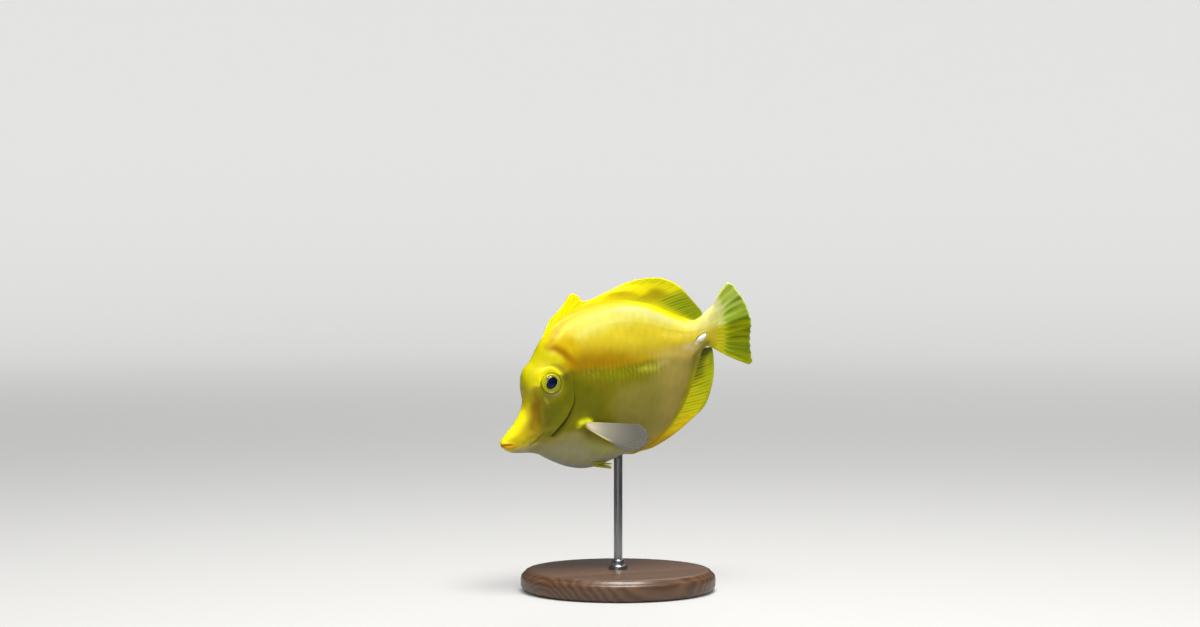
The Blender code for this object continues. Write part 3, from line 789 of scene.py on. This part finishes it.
def paintFin(paint, u, out, ridge, ray):
    # tints and membrane lines, each within a span along the foot and a span out to the edge; the lines darken
    # the valleys between the rays, partly as painted shade
    colours = np.tile(np.array(paint["ground"], float), (len(u), 1))
    for tint, along, outwards in paint["tints"]:
        colours = over(colours, tint, band(u, *along) * band(out, *outwards))
    valley = 1 - ramp(ridge, *paint["valley"])
    luck = 0.62 + 0.38 * np.sin(ray * 2.4 + 3 * out)  # each line's own strength
    for tint, amount, along, outwards in paint["lines"]:
        colours = over(colours, tint, amount * valley * luck * band(u, *along) * band(out, *outwards))
    return asLight(colours)


def finMesh(rows, look, wave=None, turned=None):
    # u runs along the fin's foot; v goes up one face from 0 and down the other to 1
    mesh = gridMesh(look["rays"] * look["columnsPerRay"] + 1, 2 * look["rows"] + 1)
    step, v, _ = placesOf(mesh).round(6).T
    along = step * look["rays"]
    fromEnd = np.minimum(step, 1 - step) * look["rays"]
    spans = np.array(look["spacing"])
    u = np.interp(along, spans[:, 1], spans[:, 0])
    reach = 1 - np.abs(v - 0.5) * 2
    out = -look["root"] + (1 + look["root"]) * reach ** look["crowd"]
    shown = np.clip(out, 0, 1)
    # rays, which fork towards the edge, and the trimmed edge between them
    aside = np.minimum(along % 1, 1 - along % 1)
    fork = look["fork"] * ramp(out, look["forkStart"], 1)
    fading = ramp(out, look["rayFade"], 1)
    ridge = np.maximum(hump(aside - fork, look["rayWidth"]), hump(aside + fork, look["rayWidth"]))
    ridge = ridge * (1 - 0.35 * fading)
    corner = look["corner"] * (1 - np.clip(fromEnd / look["cornerRays"], 0, 1)) ** 2
    trim = 1 - corner - look["scallop"] * (1 - hump(aside, 0.30)) * fading
    trim = trim * (1 - look["cleft"] * hump(u - look["cleftPlace"], look["cleftWidth"]))
    trim = trim * (1 + look["ragged"] * wobble(u * 7, u * 0, 0.35))
    lean = out * np.where(out < 0, 1, trim)
    bend = (look["bend"] + look["flare"] * (1 - 2 * u)) * out * (1 - out)
    footX, footZ, tipX, tipZ = smoothRows(rows, u).T
    x = footX + (tipX - footX) * lean - (tipZ - footZ) * bend
    z = footZ + (tipZ - footZ) * lean + (tipX - footX) * bend
    # thickness, rounded off at both ends, the edge and the foot
    half = look["footHalf"] + (look["edgeHalf"] - look["footHalf"]) * shown
    half = half + look["ridge"] * ridge * (1 - 0.4 * shown)
    for left in (fromEnd / look["endRound"], (1 - out) / look["edgeRound"], reach / look["edgeRound"]):
        half = half * np.sqrt(np.clip(left, 0, 1))
    y = look["fold"] * (2 * ridge - 1) * ramp(out, 0, 0.25) + np.where(v < 0.5, -1, 1) * half
    if wave:
        y = y + wave(u, shown, out)
    points = np.stack([x, y, z], -1)
    keepValues(mesh, "finMap", np.stack([ridge, shown, u], -1))
    keepValues(mesh, "tint", paintFin(look["paint"], u, out, ridge, np.floor(along)))
    if turned is not None:
        points = points @ np.array(turned.to_3x3()).T + np.array(turned.translation)
    keepValues(mesh, "flat", points)
    movePoints(mesh, points)
    bmesh.ops.remove_doubles(mesh, verts=mesh.verts, dist=2e-6)
    movePoints(mesh, poseFish(placesOf(mesh)))
    return mesh


def finMaterial(name, clear=None):
    made, tree, shader = newMaterial(name, finFinish)
    finMap, flat = attribute(tree, "finMap"), attribute(tree, "flat")
    ridge, out, along = split(tree, finMap)
    colour, _ = drift(tree, flat, attribute(tree, "tint"), 30.0, 0.10)
    joints = addNode(
        tree, "TexWave", wave_type="BANDS", bands_direction="Y", Scale=14.0, Distortion=1.5, Vector=finMap)
    banded = sums(tree, "MULTIPLY", joints.outputs["Fac"], ridge)
    fine, grain = drift(tree, flat, colour, 240.0, 0.06)
    feed(shader.inputs["Base Color"], fine)
    bump(tree, shader, sums(tree, "MULTIPLY_ADD", banded, 0.6, grain), 0.00005, 0.8)
    if clear:
        # solid at the foot and the cream edge, thin towards the tip
        solid = rampNode(tree, out, *clear["span"], *clear["solid"])
        solid = sums(tree, "MULTIPLY_ADD", ridge, clear["ray"], solid)
        edge = rampNode(tree, along, *clear["creamEdge"], 0.0, 0.85)
        edge = sums(tree, "MULTIPLY", edge, rampNode(tree, out, 0.4, 0.7, 1.0, 0.0))
        solid = sums(tree, "MAXIMUM", solid, edge)
        feed(shader.inputs["Alpha"], sums(tree, "MINIMUM", solid, 1.0))
    return made


finFinish = {"Roughness": 0.42, "Specular IOR Level": 0.16, "Coat Weight": 0.03, "Coat Roughness": 0.25}
clearFin = {"span": (0.20, 0.90), "solid": (0.95, 0.60), "ray": 0.05, "creamEdge": (0.86, 0.96)}
# each tint: colour, then start, end and fade along the foot, then the same outwards
# each line has a strength after its colour
everywhere = (-9, 9, 1)
paints = {
    "dorsal": {
        "ground": (250, 240, 6), "valley": (0.01, 0.16),
        "tints": (
            ((226, 238, 24), (-9, 0.06, 0.04), (0.3, 9, 0.2)),
            # painted shade: gold along the fin's foot in front
            ((238, 212, 2), (0.1, 0.43, 0.05), (-9, 0.1, 0.14)),
            ((242, 208, 1), (0.36, 0.43, 0.04), (-9, 0.28, 0.15)),
            # painted highlight: a pale slanting streak behind the spines
            ((252, 248, 84), (0.43, 0.455, 0.02), (0.5, 9, 0.2)),
            # painted shade: gold below the crease
            ((246, 220, 4), (0.58, 0.7, 0.05), (0.2, 0.5, 0.14)),
            ((226, 222, 10), (0.6, 0.74, 0.04), (0.84, 9, 0.14)),
            ((184, 192, 3), (0.785, 9, 0.025), everywhere),
            ((160, 176, 2), (0.8, 9, 0.03), (0.45, 9, 0.2)),
            # painted shade: olive behind the crease
            ((184, 166, 3), (0.715, 0.785, 0.025), (0.02, 0.62, 0.14)),
            ((244, 236, 8), (0.66, 0.985, 0.05), (-9, 0.23, 0.17)),
            ((218, 214, 60), (0.77, 9, 0.02), (0.985, 9, 0.02)),
        ),
        "lines": (
            ((96, 112, 2), 0.75, (0.78, 0.975, 0.02), (0.34, 0.94, 0.12)),
            ((104, 106, 4), 0.5, (0.6, 0.74, 0.04), (0.74, 0.96, 0.06)),
            ((200, 150, 4), 0.35, (0.56, 0.76, 0.04), (0.14, 0.6, 0.14)),
        ),
    },
    "anal": {
        "ground": (214, 210, 8), "valley": (0.01, 0.22),
        "tints": (
            ((206, 164, 4), (-9, 0.34, 0.08), everywhere),
            ((246, 212, 5), (0.3, 0.46, 0.06), (0.3, 0.9, 0.18)),
            # painted shade along the fin's foot
            ((184, 162, 5), (0.15, 0.55, 0.06), (-9, 0.05, 0.12)),
            ((186, 194, 3), (0.58, 0.8, 0.06), (0.5, 9, 0.2)),
            ((172, 176, 4), (0.46, 0.6, 0.05), (0.86, 9, 0.1)),
            # painted shadow under the tail stalk: the rear of the fin darkened
            ((136, 142, 5), (0.7, 9, 0.05), (-9, 0.5, 0.2)),
            ((92, 102, 12), (0.84, 9, 0.05), everywhere),
            ((160, 174, 4), (0.74, 0.9, 0.04), (0.72, 9, 0.14)),
        ),
        "lines": (
            ((44, 50, 4), 0.7, (0.66, 0.97, 0.05), (-9, 0.52, 0.22)),
            ((128, 124, 4), 0.5, (0.34, 0.84, 0.06), (0.06, 0.92, 0.1)),
        ),
    },
    "caudal": {
        "ground": (178, 204, 48), "valley": (0.02, 0.8),
        "tints": (
            # paler towards the upper lobe and darker below, partly the fin's own colour and partly painted
            # light from above
            ((224, 248, 116), (0.07, 0.27, 0.06), everywhere),
            ((206, 234, 86), (0.27, 0.42, 0.05), everywhere),
            ((176, 190, 6), (0.42, 0.72, 0.05), everywhere),
            ((160, 178, 24), (0.72, 0.88, 0.05), everywhere),
            ((184, 196, 8), (0.88, 9, 0.05), everywhere),
            ((244, 252, 132), (-9, 0.05, 0.05), everywhere),
            ((255, 255, 176), (-9, 0.24, 0.1), (-9, 0.24, 0.2)),
            ((244, 248, 140), (0.2, 0.46, 0.08), (-9, 0.16, 0.16)),
            ((214, 210, 26), (0.44, 9, 0.05), (-9, 0.15, 0.14)),
        ),
        "lines": (
            ((112, 140, 28), 0.85, (0.06, 0.48, 0.04), (0.24, 9, 0.18)),
            ((88, 98, 4), 0.8, (0.44, 0.76, 0.06), (0.22, 9, 0.18)),
            ((96, 118, 16), 0.4, (0.74, 0.93, 0.05), (0.22, 9, 0.18)),
        ),
    },
    "pectoral": {
        "ground": (122, 120, 116), "valley": (0.02, 0.4),
        "tints": (
            ((144, 142, 128), everywhere, (-9, 0.66, 0.18)),
            ((166, 160, 142), everywhere, (-9, 0.42, 0.16)),
            ((200, 188, 164), everywhere, (-9, 0.24, 0.12)),
            ((224, 208, 194), (0.15, 0.65, 0.1), (-9, 0.14, 0.08)),
            ((216, 210, 156), (0.84, 9, 0.06), (-9, 0.55, 0.1)),
            ((206, 206, 84), (-9, 0.08, 0.06), (-9, 0.25, 0.1)),
            ((210, 206, 60), everywhere, (-9, 0.02, 0.04)),
        ),
        "lines": (((96, 96, 98), 0.22, everywhere, (0.2, 9, 0.15)),),
    },
    "pelvic": {
        # painted shade: the olive ground and the dark band across the middle
        "ground": (176, 168, 14), "valley": (0.02, 0.3),
        "tints": (
            ((112, 112, 6), (0.15, 0.6, 0.12), (0.3, 0.85, 0.15)),
            ((206, 200, 60), everywhere, (0.93, 9, 0.05)),
            ((152, 148, 84), everywhere, (-9, 0.16, 0.12)),
        ),
        "lines": (((90, 88, 4), 0.4, everywhere, (0.1, 0.9, 0.1)),),
    },
}

dorsal = {
    "rays": 46,
    "spacing": ((0, 0), (0.375, 5), (0.62, 16), (1, 46)),  # shares of the foot, and the rays before them
    "columnsPerRay": 10,
    "rows": 30,
    "crowd": 0.9,
    "root": 0.16,
    "footHalf": 0.0042,
    "edgeHalf": 0.0016,
    "endRound": 0.35,
    "edgeRound": 0.03,
    "ridge": 0.0013,
    "rayWidth": 0.17,
    "fork": 0.13,
    "forkStart": 0.45,  # shares of the way out
    "rayFade": 0.6,
    "fold": 0.0008,
    "scallop": 0.012,
    "ragged": 0.008,
    "corner": 0,
    "cornerRays": 1.3,
    "cleft": 0,
    "cleftPlace": 0.44,
    "cleftWidth": 0.10,
    "bend": 0.05,
    "flare": 0,
    "paint": paints["dorsal"],
}
# the others differ from it; place is x, z and how far out, turns are down, outwards and tipped over
anal = dict(
    dorsal, spacing=((0, 0), (0.10, 3), (1, 46)), rows=26, bend=-0.05, fold=0.0007, ragged=0.004,
    paint=paints["anal"])
caudal = dict(
    dorsal, rays=13, spacing=((0, 0), (1, 13)), columnsPerRay=18, rows=34, root=0.35, footHalf=0.0046,
    ridge=0.0016, fold=0.0036, fork=0, scallop=0.009, bend=0, corner=0.17, rayWidth=0.26, ragged=0,
    flare=0.16, paint=paints["caudal"])
pectoral = dict(
    dorsal, rays=22, spacing=((0, 0), (1, 22)), columnsPerRay=8, rows=24, root=0.05, fork=0,
    footHalf=0.0050, edgeHalf=0.0012, ridge=0.0006, fold=0.0002, scallop=0.006, bend=0, corner=0.02,
    paint=paints["pectoral"], place=(0.333, -0.155, 0.0875), turns=(35, 28, -12))
pelvic = dict(
    dorsal, rays=6, spacing=((0, 0), (1, 6)), rows=20, root=0.14, ridge=0.0016, scallop=0.020, bend=0,
    cleft=0.62, paint=paints["pelvic"], place=(0.330, -0.325, 0.036), turns=(27, 2, 20))


def dorsalWave(u, shown, out):
    # a slow swell to each side, and a crease that climbs backwards behind the spines
    swell = 0.0035 * np.sin((u - 0.36) * 11) * ramp(u, 0.30, 0.45) * (1 - ramp(u, 0.75, 0.98))
    crease = 0.52 - 2.0 * (u - 0.60)
    fold = -0.0055 * hump(out - crease, 0.15) * ramp(u, 0.50, 0.60) * (1 - ramp(u, 0.72, 0.79))
    return swell * shown**1.4 + fold + 0.0035 * hump(u - 0.10, 0.06) * out


def analWave(u, shown, _):
    return 0.006 * np.sin(u * 8 + 0.6) * shown**1.4


def tailWave(u, shown, _):
    return 0.007 * np.sin(u * 6 + 0.4) * shown**1.3


def pectoralWave(u, shown, _):
    return -0.008 * np.sin(shown * 1.6) * (u - 0.5)


def turnedFin(side, look):
    down, outwards, tipOver = (math.radians(turn) for turn in look["turns"])
    turned = Matrix.Rotation(side * outwards, 4, "Z") @ Matrix.Rotation(down, 4, "Y")
    turned = turned @ Matrix.Rotation(-side * tipOver, 4, "X")
    x, z, offset = look["place"]
    return Matrix.Translation((x, side * offset, z)) @ turned


sides = (("left", -1), ("right", 1))
finPaint, clearPaint = finMaterial("finSkin"), finMaterial("clearFin", clearFin)
for name, rows, look, wave in (
        ("dorsal_fin", middleRows(dorsalRows, 0), dorsal, dorsalWave),
        ("anal_fin", middleRows(analRows, math.pi), anal, analWave),
        ("caudal_fin", tailRows, caudal, tailWave)):
    finishPiece(f"{name}_rays", finMesh(rows, look, wave), finPaint, (name,))
for name, side in sides:
    mesh = finMesh(pectoralRows, pectoral, pectoralWave, turnedFin(side, pectoral))
    finishPiece(f"pectoral_rays_{name}", mesh, clearPaint, (f"pectoral_fin_{name}",))
    mesh = finMesh(pelvicRows, pelvic, None, turnedFin(side, pelvic))
    finishPiece(f"pelvic_rays_{name}", mesh, finPaint, (f"pelvic_fin_{name}",))
print("fins made")

# the eyes: an iris dish with its pupil, under a clear dome
iris = {
    "rings": 60,
    "spokes": 73,
    "ground": (0.58, 0.58, 0.006),
    # painted shade for the brown on the iris's top; the gleam is a painted highlight
    "brownShade": (0.15, 0.075, 0.002),
    "olive": (0.30, 0.31, 0.030),
    "gleam": (0.80, 0.82, 0.30),
    # the ring's bands from the middle outwards: start, end, strength and colour of each
    "bands": (
        (0.47, 0.43, 0.75, (0.52, 0.52, 0.26)), (0.755, 0.80, 0.6, (0.30, 0.30, 0.010)),
        (0.415, 0.40, 1.0, (0.004, 0.004, 0.006)), (0.385, 0.34, 1.0, (0.002, 0.006, 0.045))),
    "finish": {"Roughness": 0.28, "Specular IOR Level": 0.08},
}
# share of the way from the middle to the back, part of the pupil, part of the iris, height
irisKnots = (
    (0, 0, 0, 0.0098), (0.2, 0.55, 0, 0.0088), (0.34, 0.92, 0, 0.0062), (0.38, 0.99, 0, 0.0056),
    (0.4, 1, 0, 0.0086), (0.43, 1, 0.05, 0.0098), (0.5, 1, 0.22, 0.0094), (0.64, 1, 0.62, 0.0066),
    (0.74, 1, 0.9, 0.0034), (0.8, 1, 1, 0), (0.84, 1, 1.06, -0.007), (0.9, 1, 1.04, -0.02),
    (0.96, 0.8, 0.6, -0.033), (1, 0, 0, -0.04))
cornea = {
    "segments": 64,
    "rings": 40,
    "finish": {
        "Base Color": (0.98, 0.99, 1.0), "Roughness": 0.02, "IOR": 1.34, "Transmission Weight": 1.0,
        "Specular IOR Level": 0.12},
}


def irisMesh(side):
    mesh = gridMesh(iris["rings"], iris["spokes"])
    u, v, _ = placesOf(mesh).T
    knots = np.array(irisKnots)
    inPupil, inIris, height = (np.interp(u, knots[:, 0], knots[:, k]) for k in (1, 2, 3))
    angle = v * math.tau
    tilt = angle - math.radians(eyes["pupilTilt"])
    long, short = eyes["pupil"]
    pupil = long * short / np.hypot(short * np.cos(tilt), long * np.sin(tilt))
    radius = pupil * inPupil + (eyes["irisRadius"] - pupil) * inIris
    radius = np.where(u > 0.8, eyes["irisRadius"] * inIris, radius)  # round behind the rim
    centre, axis, across, rise = eyeFrame(side)
    points = centre + np.outer(radius * np.cos(angle), across) + np.outer(radius * np.sin(angle), rise)
    points = points + np.outer(height, axis)
    keepValues(mesh, "irisMap", np.stack([u, np.cos(angle), np.sin(angle)], -1))
    movePoints(mesh, points)
    bmesh.ops.remove_doubles(mesh, verts=mesh.verts, dist=1e-6)
    movePoints(mesh, poseFish(placesOf(mesh)))
    return mesh


def corneaMesh(side):
    mesh = bmesh.new()
    bmesh.ops.create_uvsphere(mesh, u_segments=cornea["segments"], v_segments=cornea["rings"], radius=1)
    centre, axis, across, rise = eyeFrame(side)
    x, y, z = placesOf(mesh).T
    wide, deep = eyes["ballRadius"], eyes["ballDepth"]
    points = centre + np.outer(wide * x, across) + np.outer(wide * y, rise)
    movePoints(mesh, poseFish(points + np.outer(deep * z - eyes["ballSunk"], axis)))
    return mesh


def irisMaterial():
    made, tree, shader = newMaterial("iris", iris["finish"])
    irisMap = attribute(tree, "irisMap")
    ring, acrossWay, riseWay = split(tree, irisMap)
    colour, streak = drift(tree, stretched(tree, irisMap, (1.2, 9.0, 9.0)), iris["ground"], 2.2, 0.45)
    # brown painted shade above the pupil, dusky olive behind it, a pale painted highlight (gleam) below
    high = sums(tree, "MULTIPLY_ADD", acrossWay, 0.25, sums(tree, "MULTIPLY", riseWay, 0.97))
    nearPupil = rampNode(tree, ring, 0.72, 0.50)
    brownShade = sums(tree, "MULTIPLY", rampNode(tree, high, 0.45, 0.95), nearPupil)
    colour = mixColour(tree, sums(tree, "MULTIPLY", brownShade, 0.9), colour, iris["brownShade"])
    colour = mixColour(tree, rampNode(tree, acrossWay, 0.35, 0.95, 0.0, 0.6), colour, iris["olive"])
    gleam = sums(tree, "MULTIPLY_ADD", acrossWay, -0.35, sums(tree, "MULTIPLY", riseWay, -0.94))
    gleam = sums(tree, "MULTIPLY", rampNode(tree, gleam, 0.955, 0.998), rampNode(tree, ring, 0.62, 0.70))
    colour = mixColour(tree, gleam, colour, iris["gleam"])
    for start, end, strength, paint in iris["bands"]:
        colour = mixColour(tree, rampNode(tree, ring, start, end, 0.0, strength), colour, paint)
    feed(shader.inputs["Base Color"], colour)
    feed(shader.inputs["Roughness"], rampNode(tree, ring, 0.38, 0.42, 0.10, 0.34))
    bump(tree, shader, streak, 0.00008, 0.6)
    return made


def corneaMaterial():
    made, tree, shader = newMaterial("cornea", cornea["finish"])
    _, value = drift(tree, objectPlace(tree), (1, 1, 1), 700.0, 0.0)
    feed(shader.inputs["Roughness"], rampNode(tree, value, 0.3, 0.8, 0.01, 0.05))
    return made


irisPaint, corneaPaint = irisMaterial(), corneaMaterial()
for name, side in sides:
    finishPiece(f"iris_{name}", irisMesh(side), irisPaint, (f"eye_{name}",))
    finishPiece(f"cornea_{name}", corneaMesh(side), corneaPaint, ())
print("eyes made")

# the scalpels: the folded white spines of the tail stalk
scalpel = {
    "length": 0.027,
    "thick": 0.0105,
    "tall": 0.0112,
    "offset": 0.0280,
    "colour": (0.95, 0.95, 0.96),
    "finish": {"Roughness": 0.22, "Coat Weight": 0.5},
}


def scalpelMesh(side):
    mesh = bmesh.new()
    bmesh.ops.create_uvsphere(mesh, u_segments=40, v_segments=28, radius=1)
    bmesh.ops.rotate(mesh, matrix=Matrix.Rotation(math.pi / 2, 3, "Y"), verts=mesh.verts)
    x, y, z = placesOf(mesh).T
    slim = np.where(x < 0, 1 - 0.45 * np.abs(x) ** 1.5, 1)  # drawn out to a point in front
    lift = math.radians(skin["scalpelLift"])
    u, v = x * scalpel["length"], scalpel["tall"] * (z * slim - 0.10 * (1 - x * x))
    placeX, placeZ = skin["scalpelPlace"]
    points = np.stack([
        placeX + u * math.cos(lift) - v * math.sin(lift),
        side * scalpel["offset"] + y * slim * scalpel["thick"],
        placeZ + u * math.sin(lift) + v * math.cos(lift)], -1)
    keepValues(mesh, "flat", points)
    movePoints(mesh, poseFish(points))
    return mesh


def scalpelMaterial():
    made, tree, shader = newMaterial("scalpelBone", scalpel["finish"])
    colour, value = drift(tree, attribute(tree, "flat"), scalpel["colour"], 60.0, 0.10)
    feed(shader.inputs["Base Color"], colour)
    bump(tree, shader, value, 0.00004, 0.5)
    return made


scalpelPaint = scalpelMaterial()
for name, side in sides:
    finishPiece(f"scalpel_{name}", scalpelMesh(side), scalpelPaint, (f"tail_spine_{name}",))
print("scalpels made")

# the stand: a turned walnut disc and one steel rod with a collar; radius and height in millimetres
stand = {
    "discProfile": (
        (0, 0), (42.5, 0), (43.8, 0.6), (44.5, 1.6), (45, 3), (45, 6.2), (44.7, 7.4), (44.1, 8.1),
        (43.6, 8.3), (43.2, 8.7), (42.8, 9.4), (41.8, 9.9), (40, 10), (0, 10)),
    "rodProfile": (
        (0, 9), (4.4, 9), (4.4, 11.2), (4.1, 11.8), (3.4, 12), (3.1, 12.2), (3, 13.8), (2.7, 14.4), (2, 14.6),
        (2, 67), (1.6, 67.6), (0, 67.6)),
    "darkWood": (0.085, 0.040, 0.019),
    "paleWood": (0.150, 0.076, 0.037),
    "steel": (0.40, 0.40, 0.41),
    "woodFinish": {"Roughness": 0.40, "Coat Weight": 0.25, "Coat Roughness": 0.25},
    "steelFinish": {"Roughness": 0.28, "Metallic": 1.0},
}


def turnedMesh(profile, steps, unit=0.001):
    # a lathe shape: the profile's points spun round the z axis
    mesh = bmesh.new()
    verts = [mesh.verts.new((radius * unit, 0, height * unit)) for radius, height in profile]
    edges = [mesh.edges.new(pair) for pair in zip(verts, verts[1:])]
    bmesh.ops.spin(
        mesh, geom=verts + edges, axis=(0, 0, 1), cent=(0, 0, 0), angle=math.tau, steps=steps, use_merge=True)
    bmesh.ops.remove_doubles(mesh, verts=mesh.verts, dist=1e-6)
    return mesh


def walnutMaterial():
    made, tree, shader = newMaterial("walnut", stand["woodFinish"])
    place = objectPlace(tree)
    rings = addNode(
        tree, "TexWave", wave_type="RINGS", rings_direction="X", Scale=2.0, Distortion=7.0,
        Detail=4.0, Vector=stretched(tree, place, (4.0, 60.0, 60.0), (0.0, 0.6, 0.4)))
    colour = mixColour(tree, rings.outputs["Fac"], stand["darkWood"], stand["paleWood"])
    colour, fibre = drift(tree, stretched(tree, place, (60.0, 1600.0, 1600.0)), colour, 1.0, 0.7)
    feed(shader.inputs["Base Color"], colour)
    feed(shader.inputs["Roughness"], rampNode(tree, fibre, 0.3, 0.7, 0.34, 0.50))
    bump(tree, shader, fibre, 0.00004, 0.5)
    return made


def steelMaterial():
    made, tree, shader = newMaterial("satinSteel", stand["steelFinish"])
    brushed = stretched(tree, objectPlace(tree), (2400.0, 2400.0, 60.0))
    colour, value = drift(tree, brushed, stand["steel"], 1.0, 0.10)
    feed(shader.inputs["Base Color"], colour)
    feed(shader.inputs["Roughness"], rampNode(tree, value, 0.2, 0.8, 0.22, 0.40))
    bump(tree, shader, value, 0.00001, 0.15)
    return made


for name, profile, steps, material, node, slot, sharpFrom in (
        ("stand_disc", "discProfile", 160, walnutMaterial(), "stand_base", "stand_wood", 40),
        ("stand_pin", "rodProfile", 48, steelMaterial(), "stand_rod", "stand_steel", 50)):
    piece = finishPiece(name, turnedMesh(stand[profile], steps), material, (node,))
    piece.data.set_sharp_from_angle(angle=math.radians(sharpFrom))
print("stand made")

# the room: a pale floor that rises into a round wall far off, soft lamps, and the camera
room = {
    "floorRadius": 2.2,
    "cove": 1.6,
    "coveSteps": 16,
    "wall": 3.4,
    "colour": (0.50, 0.50, 0.50),
    "glow": (1.0, 1.0, 0.99),
    "glowNear": 0.18,
    "glowFar": 0.68,
    "key": {"place": (-0.10, -0.40, 1.15), "size": 0.70, "power": 23.0, "colour": (1.0, 0.985, 0.95)},
    "fill": {"place": (-1.3, -1.5, 0.55), "size": 1.2, "power": 1.4, "colour": (0.92, 0.96, 1.0)},
    "back": {"place": (0.9, 1.2, 1.3), "size": 1.0, "power": 4.0, "colour": (1.0, 0.99, 0.97)},
    "aim": (0, 0, 0.10),
    "sky": (0.86, 0.90, 0.95),
    "skyStrength": 0.15,
}
view = {
    "azimuth": -26.5,
    "elevation": 3.0,
    "distance": 1.25,
    "pixel": 0.4595e-3,  # metres at the fish
    "frame": (1200, 627),
    "shown": (619.6, 372.4),  # where the fish's middle lies in the frame
    "sensor": 36.0,
}


def floorMaterial():
    made, tree, shader = newMaterial("paleFloor", {"Roughness": 0.75, "Emission Color": room["glow"]})
    place = objectPlace(tree)
    colour, _ = drift(tree, place, room["colour"], 40.0, 0.015)
    feed(shader.inputs["Base Color"], colour)
    # seen pale and even, though it throws little light up at the fish
    away = addNode(tree, "VectorMath", operation="LENGTH")
    feed(away.inputs[0], place)
    far = rampNode(tree, away.outputs["Value"], 0.3, 3.2, room["glowNear"], room["glowFar"])
    seen = addNode(tree, "LightPath").outputs["Is Camera Ray"]
    feed(shader.inputs["Emission Strength"], sums(tree, "MULTIPLY", far, seen))
    return made


def buildRoom():
    cove = room["cove"]
    angles = [step * math.pi / 2 / room["coveSteps"] for step in range(room["coveSteps"] + 1)]
    profile = [(0, 0), (0.3, 0)]
    start = room["floorRadius"]
    profile += [(start + cove * math.sin(angle), cove * (1 - math.cos(angle))) for angle in angles]
    profile.append((start + cove, room["wall"]))
    mesh = turnedMesh(profile, 96, 1)
    bmesh.ops.recalc_face_normals(mesh, faces=mesh.faces)
    middle = min(mesh.faces, key=lambda face: face.calc_center_median().length)
    if middle.normal.z < 0:
        bmesh.ops.reverse_faces(mesh, faces=mesh.faces)
    meshObject("floor", mesh, floorMaterial())


def addLamp(name, lamp):
    data = bpy.data.lights.new(name, "AREA")
    data.shape, data.size, data.energy, data.color = "DISK", lamp["size"], lamp["power"], lamp["colour"]
    made = addObject(name, data)
    made.location = lamp["place"]
    made.rotation_euler = (Vector(room["aim"]) - made.location).to_track_quat("-Z", "Y").to_euler()


def addWorld():
    world = bpy.data.worlds.new("studio")
    world.use_nodes = True
    sky = world.node_tree.nodes["Background"]
    feed(sky.inputs["Color"], room["sky"])
    feed(sky.inputs["Strength"], room["skyStrength"])
    bpy.context.scene.world = world
    bpy.context.scene.view_settings.view_transform = "Standard"


def fishMiddle():
    low, high = Vector((1, 1, 1)), Vector((-1, -1, -1))
    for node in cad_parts:
        if not node.startswith("stand_"):
            nodeLow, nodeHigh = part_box(node)
            low, high = Vector(map(min, low, nodeLow)), Vector(map(max, high, nodeHigh))
    return (low + high) / 2


def addCamera():
    # looks from the fish's left and a little behind the snout
    turn, rise = math.radians(view["azimuth"]), math.radians(view["elevation"])
    back = Vector((math.sin(turn) * math.cos(rise), -math.cos(turn) * math.cos(rise), math.sin(rise)))
    right = Vector((math.cos(turn), math.sin(turn), 0))
    up = back.cross(right)
    (wide, tall), (shownX, shownY) = view["frame"], view["shown"]
    centre = fishMiddle()
    target = centre + (right * (wide / 2 - shownX) + up * (shownY - tall / 2)) * view["pixel"]
    data = bpy.data.cameras.new("camera")
    data.sensor_width = view["sensor"]
    data.lens = view["sensor"] * view["distance"] / (wide * view["pixel"])
    data.clip_start, data.clip_end = 0.01, 30.0
    camera = addObject("camera", data)
    camera.location = centre + back * view["distance"]
    camera.rotation_euler = (target - camera.location).to_track_quat("-Z", "Y").to_euler()
    bpy.context.scene.camera = camera


buildRoom()
for name in ("key", "fill", "back"):
    addLamp(name, room[name])
addWorld()
addCamera()
print("room, lamps and camera made")
